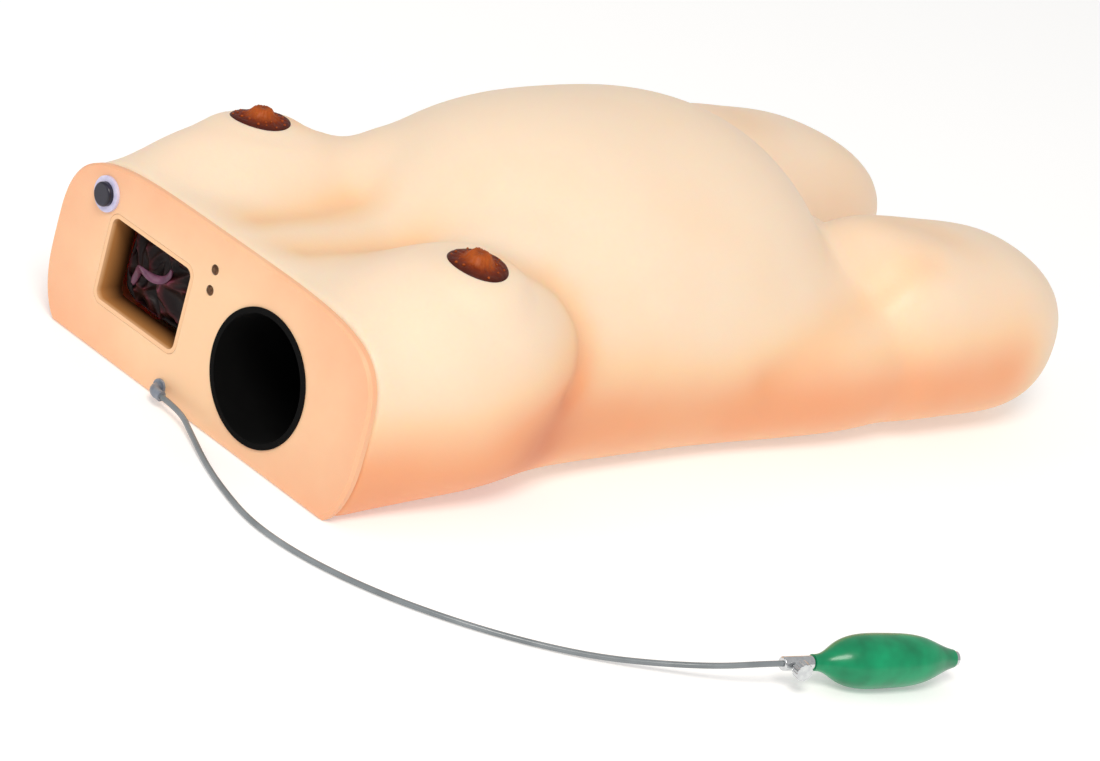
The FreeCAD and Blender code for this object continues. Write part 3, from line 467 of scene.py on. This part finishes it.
def near_line(body, route):
    """Distance in mm from every point to a line of straight pieces."""
    best = np.full(len(body), 1e9)
    for start, end in zip(route[:-1], route[1:]):
        start, end = np.array(start, float), np.array(end, float)
        run = end - start
        share = np.clip(((body - start) @ run) / (run @ run), 0, 1)
        best = np.minimum(best, np.linalg.norm(body - start - share[:, None] * run, axis=1))
    return best


print("points of the skin", len(skin.data.vertices))

# %% [markdown]
# The folds are pressed in next. Each is a line on the body with a depth and
# a width, mirrored for the other side, and the same lines give the painted
# shade its strength. A line with no depth is painted shade only. The breasts
# are soft, so they settle by a few millimetres of their own weight: nothing
# at the panel, most past the nipple, and nothing beyond the fold.

# %% Folds and settling
# route as (line, out, height), depth in mm, width in mm, painted shade
folds = {
    "under the breast": ([(140, 112, 160), (165, 115, 154), (191, 117, 140), (202, 125, 130),
                          (208, 136, 116), (205, 146, 106), (196, 159, 87), (186, 164, 76)],
                         3.5, 8, 0.2),
    "between the breasts": ([(40, 22, 132), (71, 24, 132), (106, 25, 133), (140, 30, 134)],
                            2.0, 15, 0.15),
    "inner edge of the breast": ([(48, 25, 132), (80, 27, 132), (110, 29, 133), (138, 34, 135)],
                                 1.5, 6, 0.12),
    "root of the thigh": ([(575, 88, 147), (590, 96, 147), (600, 104, 146)], 1.5, 18, 0.12),
    "groin": ([(560, 142, 141), (528, 139, 129), (509, 134, 108), (457, 150, 101), (415, 161, 86),
               (387, 162, 73)], 2.5, 11, 0.12),
    "side of the chest": ([(14, 166, 44), (90, 172, 46), (165, 170, 46)], 0.0, 22, 0.3),
    "outer side of the breast": ([(130, 168, 76), (165, 160, 88), (190, 152, 100)], 0.0, 16, 0.14),
    "low flank": ([(180, 163, 52), (268, 157, 50), (367, 160, 48), (464, 169, 48), (562, 178, 54),
                   (640, 178, 60)], 2.0, 22, 0.4),
}
shade_widening = 1.8        # painted shade fades over more than the fold's width
# how far the breast settles in mm, at lines along the body
settling = [(0, 0), (12, 0), (45, 3.0), (75, 5.0), (110, 6.0), (150, 5.5), (205, 0), (760, 0)]
breast_out, breast_spread = 115, 52
soft_above, soft_within = 60, 60


def eased_in(share):
    """A share from 0 to 1 that starts and ends gently."""
    return share * share * (3 - 2 * share)


def settled(body):
    """How far each point sinks in mm, both walls of the shell together."""
    along = np.interp(body[:, 0], *zip(*settling))
    across = np.exp(-((np.abs(body[:, 1]) - breast_out) / breast_spread) ** 2)
    high = np.clip((body[:, 2] - soft_above) / soft_within, 0, 1)
    return along * across * high * high * (3 - 2 * high)


print("folds", len(folds), "deepest settling", max(sink for _, sink in settling), "mm")

# %% Average, settle, press and note the painted shade
first_rounds, first_share = 8, 0.5
last_rounds, last_share = 2, 0.4
points = averaged(skin.data, read_points(skin.data), first_rounds, first_share)
points[:, 2] -= settled(along_body(points)) / 1000
write_points(skin.data, points)
normals = np.empty(len(points) * 3, np.float32)
skin.data.vertices.foreach_get("normal", normals)
normals = normals.reshape(-1, 3)
body = along_body(points)
mirrored = body * (1, -1, 1)
pressed = np.zeros(len(points))
painted_shade_share = np.zeros(len(points))
for route, fold_depth, fold_width, shade_amount in folds.values():
    near = np.minimum(near_line(body, route), near_line(mirrored, route))
    press = np.exp(-(near / fold_width) ** 2)
    pressed += fold_depth * press
    # painted shade in and beside each fold, wider than the press
    painted_shade_share += shade_amount * np.exp(-(near / (fold_width * shade_widening)) ** 2)

# the painted shade also grows towards the table, and more so along the chest
low_height, chest_end, chest_fade = 90, 210, 60
low_shade, chest_shade, low_power = 0.24, 0.22, 1.3
low = np.clip((low_height - body[:, 2]) / low_height, 0, 1)
chest = np.clip((chest_end - body[:, 0]) / chest_fade, 0, 1)
painted_shade_share += (low_shade + chest_shade * chest) * low ** low_power
points = points - normals * (pressed / 1000)[:, None]
points[:, 2] = np.maximum(points[:, 2], 0.0)
points = averaged(skin.data, points, last_rounds, last_share)
print("deepest press", round(float(pressed.max()), 1), "mm")

# %% [markdown]
# Averaging pulls every rim inwards, and here it would open a dark gap behind
# the end panel. So the points near the panel are led back towards its inner
# face, most at the very edge, and flared out by the little that the rounding
# took.

# %% Bring the front edge back to the panel
panel_back, edge_zone = 6.0, 18.0          # mm from the panel's outer face
edge_flare, flare_power = 0.0024, 2.5      # the flare in metres
panel_centre = (0.0, 0.066)
body = along_body(points)
front = body[:, 0] < edge_zone
first = body[front, 0].min()
reach = (edge_zone - body[front, 0]) / (edge_zone - first)
points[front, 0] -= reach * (first - panel_back) / 1000
outward = points[front][:, 1:] - np.array(panel_centre)
outward /= np.linalg.norm(outward, axis=1)[:, None]
facing = np.clip((normals[front][:, 1:] * outward).sum(1), 0, 1)
points[front, 1:] += outward * (edge_flare * np.clip(reach, 0, 1) ** flare_power * facing)[:, None]
points[:, 2] = np.maximum(points[:, 2], 0.0)
print("front edge was at", round(float(first), 1), "mm")

# %% [markdown]
# The CAD skin has a seat cut for each nipple, whose step would show round
# the insert. A dome, which is a curved sheet with six terms, is fitted to
# the skin in a ring round each seat. Its slopes are then set to how
# the photograph's breasts lean, and the skin inside the ring is raised or
# lowered to it, with a soft fade outwards. The nipples use the same domes.

# %% Close the seats under the nipples
nipple_line, nipple_out = 115, 0.1155
seat_reach, ring_reach = 0.030, 0.046       # the dome is fitted between these radii
seat_fade, fade_width = 0.016, 0.02
facing_up, breast_height, wall_depth = 0.3, 0.12, 0.013
lean_out, lean_to_chest, dome_share = 0.085, 0.02, 0.8
seat_places = {side: (at(nipple_line, 0, 0).x, side * nipple_out) for side in (1, -1)}


def dome_terms(x, y):
    """The six terms of a curved sheet: level, two slopes and three bends."""
    return np.stack([np.ones_like(x), x, y, x * x, x * y, y * y], -1)


breast_domes = {}
for side, (middle_x, middle_y) in seat_places.items():
    x, y = points[:, 0] - middle_x, points[:, 1] - middle_y
    away = np.hypot(x, y)
    outer = (normals[:, 2] > facing_up) & (points[:, 2] > breast_height)
    ring = outer & (away > seat_reach) & (away < ring_reach)
    dome = np.linalg.lstsq(dome_terms(x[ring], y[ring]), points[ring, 2], rcond=None)[0]
    print("slopes of the skin", np.round(dome[1:3], 3))
    dome[1:3] = lean_to_chest, -side * lean_out
    dome[3:] *= dome_share
    level = dome_terms(x, y) @ dome
    inside = outer & (away < seat_reach + seat_fade) & (points[:, 2] > level - wall_depth)
    part = eased_in(np.clip((seat_reach + seat_fade - away) / fade_width, 0, 1))
    points[inside, 2] += (part * (level - points[:, 2]))[inside]
    breast_domes[side] = dome
    print("seat", side, "ring points", int(ring.sum()), "closed points", int(inside.sum()))

# %% Hand the skin over
def note_on_points(mesh, name, values):
    """Write one number on every point, for a material to read."""
    note = mesh.attributes.new(name, "FLOAT", "POINT")
    note.data.foreach_set("value", np.asarray(values, np.float32))


write_points(skin.data, points)
# the painted shade goes on the points for the skin's material to read
note_on_points(skin.data, "painted_shade", np.clip(painted_shade_share, 0, 1))
skin.data.materials.append(skin_finish)
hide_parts("torso_skin")
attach(skin, "torso")
print("blush from", round(float(painted_shade_share.min()), 2), "to", round(float(painted_shade_share.max()), 2))

# %% [markdown]
# ## Nipples
# Each one is a separate tinted insert that follows the breast: a thin, almost
# flush field with fine wrinkles, a low blunt tip and a scatter of small
# bumps. A disc of rings and spokes is laid over the dome that was fitted to
# the skin, so its edge never stands off. The bumps repeat, so Geometry Nodes
# scatter them: points on the field, a small dome on each, all made real.

# %% Bump scatter tree
most_per_square_metre = 60000.0
bump_ring = 0.45            # the ring value that gives the bumps their tint


def bump_scatter():
    """Points on the field between two ring values, with a low dome on each."""
    tree = bpy.data.node_groups.new("bump scatter", "GeometryNodeTree")
    face = tree.interface
    face.new_socket("Geometry", in_out="INPUT", socket_type="NodeSocketGeometry")
    for label, kind, value in (("Spacing", "Float", 0.0042), ("Bump Size", "Float", 0.0011),
                               ("Inner Ring", "Float", 0.52), ("Outer Ring", "Float", 0.9),
                               ("Seed", "Int", 5)):
        face.new_socket(label, in_out="INPUT", socket_type="NodeSocket" + kind).default_value = value
    face.new_socket("Finish", in_out="INPUT", socket_type="NodeSocketMaterial")
    face.new_socket("Geometry", in_out="OUTPUT", socket_type="NodeSocketGeometry")

    given = add(tree, "NodeGroupInput").outputs
    ring = add(tree, "GeometryNodeInputNamedAttribute", [("Name", "ring")],
               data_type="FLOAT").outputs["Attribute"]
    past = add(tree, "FunctionNodeCompare", [(0, ring), (1, given["Inner Ring"])],
               operation="GREATER_THAN")
    short = add(tree, "FunctionNodeCompare", [(0, ring), (1, given["Outer Ring"])],
                operation="LESS_THAN")
    both = add(tree, "FunctionNodeBooleanMath", [(0, past.outputs[0]), (1, short.outputs[0])],
               operation="AND")
    spots = add(tree, "GeometryNodeDistributePointsOnFaces",
                [("Mesh", given["Geometry"]), ("Selection", both.outputs[0]),
                 ("Distance Min", given["Spacing"]), ("Density Max", most_per_square_metre),
                 ("Seed", given["Seed"])], distribute_method="POISSON")
    ball = add(tree, "GeometryNodeMeshIcoSphere", [("Radius", given["Bump Size"]), ("Subdivisions", 2)])
    size = add(tree, "FunctionNodeRandomValue", [(2, 0.55), (3, 1.1), ("Seed", given["Seed"])],
               data_type="FLOAT")
    domes = add(tree, "GeometryNodeInstanceOnPoints",
                [("Points", spots.outputs["Points"]), ("Instance", ball.outputs["Mesh"]),
                 ("Scale", size.outputs[1])])
    real = add(tree, "GeometryNodeRealizeInstances", [("Geometry", domes.outputs["Instances"])])
    smooth = add(tree, "GeometryNodeSetShadeSmooth", [("Geometry", real.outputs["Geometry"])])
    noted = add(tree, "GeometryNodeStoreNamedAttribute",
                [("Geometry", smooth.outputs["Geometry"]), ("Name", "ring"), ("Value", bump_ring)],
                data_type="FLOAT", domain="POINT")
    joined = add(tree, "GeometryNodeJoinGeometry")
    tree.links.new(noted.outputs["Geometry"], joined.inputs["Geometry"])
    tree.links.new(given["Geometry"], joined.inputs["Geometry"])
    painted = add(tree, "GeometryNodeSetMaterial", [("Geometry", joined.outputs["Geometry"]),
                                                    ("Material", given["Finish"])])
    add(tree, "NodeGroupOutput", [("Geometry", painted.outputs["Geometry"])])
    return tree


def set_inputs(modifier, **values):
    """Set a modifier's named inputs by their sockets' identifiers."""
    for item in modifier.node_group.interface.items_tree:
        if item.in_out == "INPUT" and item.name in values:
            modifier[item.identifier] = values[item.name]


bump_tree = bump_scatter()
print("bump scatter nodes", len(bump_tree.nodes))

# %% The form of a nipple
nipple_radius = 0.0212
tip_radius, tip_rise, tip_slope = 0.0082, 0.0060, 0.0011
flush_rise, flush_edge, skirt_drop = 0.0011, 0.12, 0.004
dent_depth, dent_radius = 0.0009, 0.0022
# height in metres, waves round the nipple, and turn from tip to rim
wrinkles = ((0.00022, 17, 6), (0.00014, 41, -11))
lump_height, lump_grain = 0.0009, 6
nipple_rings, nipple_spokes, ring_crowding = 36, 96, 0.9


def nipple_rise(share, angle, side):
    """Metres over the fitted skin at a share of the radius, wrinkles included."""
    field = flush_rise * min(1.0, (1.0 - share) / flush_edge) ** 0.5
    out = share * nipple_radius
    tip = tip_rise / (1 + math.exp((out - tip_radius) / tip_slope))
    dent = -dent_depth * math.exp(-(out / dent_radius) ** 2)
    crease = sum(height * math.sin(waves * angle + turn * share) for height, waves, turn in wrinkles)
    spot = Vector((math.cos(angle) * share * lump_grain, math.sin(angle) * share * lump_grain, 3 * side))
    lumps = lump_height * noise.noise(spot)
    return field + tip + dent + (crease + lumps) * math.sin(math.pi * share) ** 0.6


print("rise of the tip", round(1000 * nipple_rise(0.2, 0.0, 1), 1), "mm")

# %% Nipples
def smooth_mesh(net, name):
    """The net as a new mesh with smooth shading. The net is freed."""
    for face in net.faces:
        face.smooth = True
    mesh = bpy.data.meshes.new(name)
    net.to_mesh(mesh)
    net.free()
    return mesh


def nipple(name, node, side):
    """One insert: rings of points over the fitted dome, and a skirt down into the skin."""
    middle_x, middle_y = seat_places[side]

    def spot(share, angle, rise):
        x, y = nipple_radius * share * math.cos(angle), nipple_radius * share * math.sin(angle)
        level = float(dome_terms(np.array(x), np.array(y)) @ breast_domes[side])
        return Vector((middle_x + x, middle_y + y, level + rise))

    net = bmesh.new()
    shares = [((i + 1) / nipple_rings) ** ring_crowding for i in range(nipple_rings)]
    angles = [2 * math.pi * j / nipple_spokes for j in range(nipple_spokes)]
    rows = [[net.verts.new(spot(share, angle, nipple_rise(share, angle, side))) for angle in angles]
            for share in shares]
    top = net.verts.new(spot(0.0, 0.0, nipple_rise(0.0, 0.0, side)))
    skirt = [net.verts.new(spot(1.0, angle, -skirt_drop)) for angle in angles]
    for j in range(nipple_spokes):
        k = (j + 1) % nipple_spokes
        net.faces.new((top, rows[0][j], rows[0][k]))
        for inner, outer in zip(rows[:-1], rows[1:]):
            net.faces.new((inner[j], outer[j], outer[k], inner[k]))
        net.faces.new((rows[-1][j], skirt[j], skirt[k], rows[-1][k]))
    net.faces.new(list(reversed(skirt)))
    mesh = smooth_mesh(net, name)
    note_on_points(mesh, "ring", [share for share in shares for _ in angles] + [0.0] + [1.0] * nipple_spokes)
    piece = new_piece(name, mesh)
    scatter = piece.modifiers.new("bumps", "NODES")
    scatter.node_group = bump_tree
    set_inputs(scatter, Finish=nipple_finish, Seed=5 if side > 0 else 8)
    bake(piece)
    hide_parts(node)
    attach(piece, "torso")
    return piece


for name, node, side in (("left_nipple_insert", "left_nipple", 1),
                         ("right_nipple_insert", "right_nipple", -1)):
    insert = nipple(name, node, side)
    print(name, "faces", len(insert.data.polygons))

# %% [markdown]
# ## The folded air bag
# Empty, the latex bag crumples behind the window and bulges a little into
# it. Further in it lies flat under the doll. One sheet of rings is enough:
# the first rings spread from a point to make the crumpled face, the rest
# follow the bag's own oval. The crumples come from noise whose creases are
# kept sharp, bent by more noise so that no fold runs straight. The attribute
# written from the crumple's height gives ridges a paler painted highlight and
# valleys a near black painted shade.

# %% Crumples
bend_grain, bend_grain_along, bend_swing = 22, 40, 9     # mm
coarse_grain, fine_grain, crease_width = 21, 11, 2.4
coarse_share, fine_share = 0.74, 0.26
crumple_seed = 7            # without it, every run would crumple the bag anew
noise.seed_set(crumple_seed)


def crumple(across, high, along):
    """From 0 in a valley to 1 on a ridge, for a place in mm."""
    bend = noise.noise_vector(Vector((across / bend_grain, high / bend_grain,
                                      along / bend_grain_along + 3)))
    spot = Vector((across + bend_swing * bend.x, high + bend_swing * bend.y,
                   along * 0.6 + bend_swing * bend.z))
    coarse = 1 - min(1.0, crease_width * abs(noise.noise(spot / coarse_grain)))
    fine = 1 - min(1.0, crease_width * abs(noise.noise(spot / fine_grain + Vector((5, 1, 9)))))
    return coarse_share * coarse + fine_share * fine


print("ridge in the middle of the window", round(crumple(66.5, 66, 0), 2))

# %% The bag's course and size
# each is a list of (share of the bag's length, mm), eased from one to the next
bag_line, bag_length = 15, 405
bag_out = [(0, 66.5), (0.2, 53.2), (0.395, 0), (1, 0)]
bag_height = [(0, 66), (0.2, 66), (0.395, 47.5), (0.53, 38.5), (1, 38.5)]
bag_wide = [(0, 38), (0.022, 38), (0.035, 46), (0.2, 46), (0.395, 47.6), (0.53, 56), (1, 56)]
bag_tall = [(0, 25.8), (0.022, 25.8), (0.035, 31), (0.2, 31), (0.395, 16), (0.53, 13), (1, 13)]
window_share, window_square, body_square = 0.03, 5, 3    # squarer behind the window
end_rounding, end_opening = 0.03, 0.04
front_folds, back_folds, fold_fade = 5.5, 0.7, 5         # mm, mm, per length
face_bulge, face_rim, rim_power, rim_fade = 3.0, 3, 6, 0.02
face_fold, fold_start = 1.3, 0.01


def eased(share, stops):
    """A smooth value between (share, value) stops."""
    for (s0, v0), (s1, v1) in zip(stops[:-1], stops[1:]):
        if share <= s1:
            return v0 + (v1 - v0) * eased_in((share - s0) / (s1 - s0))
    return stops[-1][1]


def bag_spot(share, spread, angle):
    """The place in mm and the ridge height, which also sets the painted shade, of one point of the bag."""
    out, middle, wide, tall = (eased(share, stops) for stops in (bag_out, bag_height, bag_wide, bag_tall))
    closing = max(end_opening, min(1.0, (max(0.0, 1 - share) / end_rounding) ** 0.5))
    deep = max(back_folds, front_folds * (1 - share * fold_fade))
    square = window_square if share < window_share else body_square
    flat_part, tall_part = abs(math.cos(angle) / wide), abs(math.sin(angle) / tall)
    lobe = (flat_part ** square + tall_part ** square) ** (-1 / square)
    radius = lobe * spread * closing
    across, high = radius * math.cos(angle), radius * math.sin(angle)
    ridge_and_shade = crumple(out + across, middle + high, bag_length * share)
    inward = bag_line + bag_length * share
    if spread < 1:
        inward += (spread ** rim_power * face_rim - face_bulge * (1 - spread ** 2)
                   + deep * face_fold * (1 - ridge_and_shade))
    else:
        shrink = 1 - deep * (1 - ridge_and_shade) / max(lobe, 1) * min(1.0, share / fold_start + 0.2)
        across, high = across * shrink, high * shrink
        inward += face_rim * max(0.0, 1 - share / rim_fade)
    return (inward, out + across, middle + high), ridge_and_shade


print("bag from", bag_line, "to", bag_line + bag_length, "mm")

# %% Air bag
def close_rows(net, rows):
    """Faces between neighbouring rings of points, and one over each end."""
    count = len(rows[0])
    for near_row, far_row in zip(rows[:-1], rows[1:]):
        for j in range(count):
            k = (j + 1) % count
            net.faces.new((near_row[j], near_row[k], far_row[k], far_row[j]))
    net.faces.new(list(reversed(rows[0])))
    net.faces.new(rows[-1])
    bmesh.ops.recalc_face_normals(net, faces=net.faces)


face_rings, body_rings, bag_spokes = 46, 80, 260
bag_rings = [(0.0, (i + 0.5) / face_rings) for i in range(face_rings)]
bag_rings += [(((i + 1) / body_rings) ** 1.5, 1.0) for i in range(body_rings)]
net = bmesh.new()
bag_rows, ridge = [], []
for share, spread in bag_rings:
    row = []
    for j in range(bag_spokes):
        where, ridge_and_shade = bag_spot(share, spread, 2 * math.pi * j / bag_spokes)
        row.append(net.verts.new(at(*where)))
        ridge.append(ridge_and_shade)
    bag_rows.append(row)
close_rows(net, bag_rows)
mesh = smooth_mesh(net, "folded_air_bag")
note_on_points(mesh, "ridge_and_shade", ridge)
mesh.materials.append(bag_finish)
bag = new_piece("folded_air_bag", mesh)
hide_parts("lift_bag")
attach(bag, "torso")
print("bag faces", len(mesh.polygons))

# %% [markdown]
# ### The bag's pull strap
# A soft latex strap lies across the folds. It is a thin ribbon with two slack
# bends, so its cross section is carried along a waved line.

# %% Strap
strap_middle, strap_lean = (8.5, 74.0, 68.0), math.radians(-30)
strap_length, strap_width, strap_thick = 44.0, 6.5, 1.8
strap_steps, strap_sides = 40, 12
drift_swing, drift_waves, drift_start = 4.5, 1.15, 0.4    # sideways, mm
lift_swing, lift_waves = 1.6, 1.6                         # towards the window, mm
strap_twist, strap_end_drop, strap_end_rounding, strap_end_width = 0.5, 5, 0.03, 0.12
turns = [2 * math.pi * k / strap_sides for k in range(strap_sides)]
section = [(strap_width / 2 * math.cos(a) * (1 if abs(math.cos(a)) < 0.9 else 0.98),
            strap_thick / 2 * math.sin(a)) for a in turns]
line_at, strap_out, strap_height = strap_middle
net = bmesh.new()
strap_rows = []
for i in range(strap_steps + 1):
    share = i / strap_steps - 0.5
    run = share * strap_length
    drift = drift_swing * math.sin(2 * math.pi * share * drift_waves + drift_start)
    lift = lift_swing * math.cos(2 * math.pi * share * lift_waves)
    twist = strap_twist * math.sin(2 * math.pi * share)
    ends = max(strap_end_width, min(1.0, (0.5 - abs(share)) / strap_end_rounding) ** 0.5)
    row = []
    for flat, thick in section:
        wide = flat * ends * math.cos(twist) - thick * math.sin(twist)
        proud = flat * ends * math.sin(twist) + thick * math.cos(twist)
        across = run * math.cos(strap_lean) - (drift + wide) * math.sin(strap_lean)
        high = run * math.sin(strap_lean) + (drift + wide) * math.cos(strap_lean)
        inward = line_at - lift - proud + strap_end_drop * (2 * share) ** 2
        row.append(net.verts.new(at(inward, strap_out + across, strap_height + high)))
    strap_rows.append(row)
close_rows(net, strap_rows)
mesh = smooth_mesh(net, "slack_strap")
mesh.materials.append(strap_finish)
strap = new_piece("slack_strap", mesh)
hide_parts("bag_strap")
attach(strap, "torso")
print("strap faces", len(mesh.polygons))

# %% [markdown]
# ## Foam cradle and doll
# Both are soft to the eye: cut foam has no sharp edge, and a vinyl doll comes
# out of its mould in one skin. The CAD solids are remeshed with small voxels
# and averaged, which rounds the foam's edges and melts the doll's limbs into
# its body.

# %% Foam and doll
def softened(node, name, voxel, rounds):
    """A remeshed and averaged copy of a CAD node."""
    piece = even_net(plain_copy(node, name), voxel)
    write_points(piece.data, averaged(piece.data, read_points(piece.data), rounds, 0.5))
    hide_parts(node)
    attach(piece, "torso")
    return piece


cradle = softened("foam_cradle", "cut_foam_cradle", 0.004, 4)
cradle.data.materials.append(finishes["open cell foam"])
doll = softened("practice_doll", "soft_practice_doll", 0.0025, 5)
doll.data.materials.append(finishes["doll vinyl"])
print("foam faces", len(cradle.data.polygons), "doll faces", len(doll.data.polygons))

# %% [markdown]
# ## CAD parts that only need a finish
# The panel, port, button, screws, valve and everything inside are already the
# right shape. Each one keeps its mesh and gets its material in its slot.

# %% Finish the CAD parts
cad_finishes = {
    "end_panel": panel_finish, "window_liner": liner_finish,
    "port_collar": port_finish, "port_sleeve": port_finish,
    "panel_screws": finishes["bronzed steel screw"], "base_screws": finishes["zinc plated steel"],
    "base_board": finishes["sealed birch plywood"], "panel_batten": finishes["sealed birch plywood"],
    "button_bezel": finishes["pale moulded bezel"], "button_cap": finishes["navy moulded acetal"],
    "switch_body": finishes["black moulded ABS"], "sound_unit": finishes["black moulded ABS"],
    "switch_lead": finishes["black rubber lead"], "tube_elbow": finishes["moulded grey elbow"],
    "valve_body": finishes["plated brass"], "release_screw": finishes["plated brass"],
    "intake_valve": finishes["plated brass"], "squeeze_bulb": bulb_finish,
    "bag_fitting": finishes["white nylon fitting"], "inner_tube": finishes["clear vinyl tubing"],
}
for node, finish in cad_finishes.items():
    mesh = nodes[node].data
    if not mesh.materials:
        mesh.materials.append(finish)
    for i in range(len(mesh.materials)):
        mesh.materials[i] = finish
print("finished CAD parts", len(cad_finishes))

# %% The air tube
print("the air tube is a bevelled curve")

# %% [markdown]
# ## Table and light
# The photograph is a cut-out on white with soft light from above. A wide
# pale floor that glows a little, a bright even sky, one large lamp over the
# camera and a small one over the chest end give the same calm shading, and
# let the vinyl's own warmth show. The plain view transform shows colours as
# they were mixed, where the filmic one would grey the white.

# %% Table and sky
floor_reach, floor_level, floor_glow, sky_strength = 6, -0.0005, 0.32, 0.56
floor_mesh = bpy.data.meshes.new("pale_table")
floor_mesh.from_pydata([(x * floor_reach, y * floor_reach, floor_level)
                        for x, y in ((-1, -1), (1, -1), (1, 1), (-1, 1))], [], [(0, 1, 2, 3)])
floor_finish, tree, shader = new_finish("pale paper table", "#E4E4E4", Roughness=0.9,
                                        Emission_Color=colour("#FFFFFF"), Emission_Strength=floor_glow)
floor_mesh.materials.append(floor_finish)
floor = new_piece("pale_table", floor_mesh)

sky = bpy.data.worlds.new("even white studio")
sky.use_nodes = True
sky_light = sky.node_tree.nodes["Background"]
sky_light.inputs["Color"].default_value = colour("#FFFFFF")
sky_light.inputs["Strength"].default_value = sky_strength
bpy.context.scene.world = sky
bpy.context.scene.view_settings.view_transform = "Standard"
print("floor", 2 * floor_reach, "m wide, sky strength", sky_strength)

# %% Lamps
lamp_target = (0, 0, 0.1)


def lamp(name, spot, size, power, tint):
    """A round soft lamp that looks at the body."""
    light = bpy.data.lights.new(name, "AREA")
    light.shape = "DISK"
    light.size = size
    light.energy = power
    light.color = colour(tint)[:3]
    holder = new_piece(name, light)
    aim = (Vector(spot) - Vector(lamp_target)).to_track_quat("Z", "Y")
    holder.matrix_world = Matrix.Translation(spot) @ aim.to_matrix().to_4x4()


lamp("key lamp over the camera", (-2.6, -2.4, 4.0), 2.0, 156, "#FFFAF2")
lamp("small lamp over the chest end", (-2.4, 0.6, 1.6), 0.8, 5, "#FFFFFF")
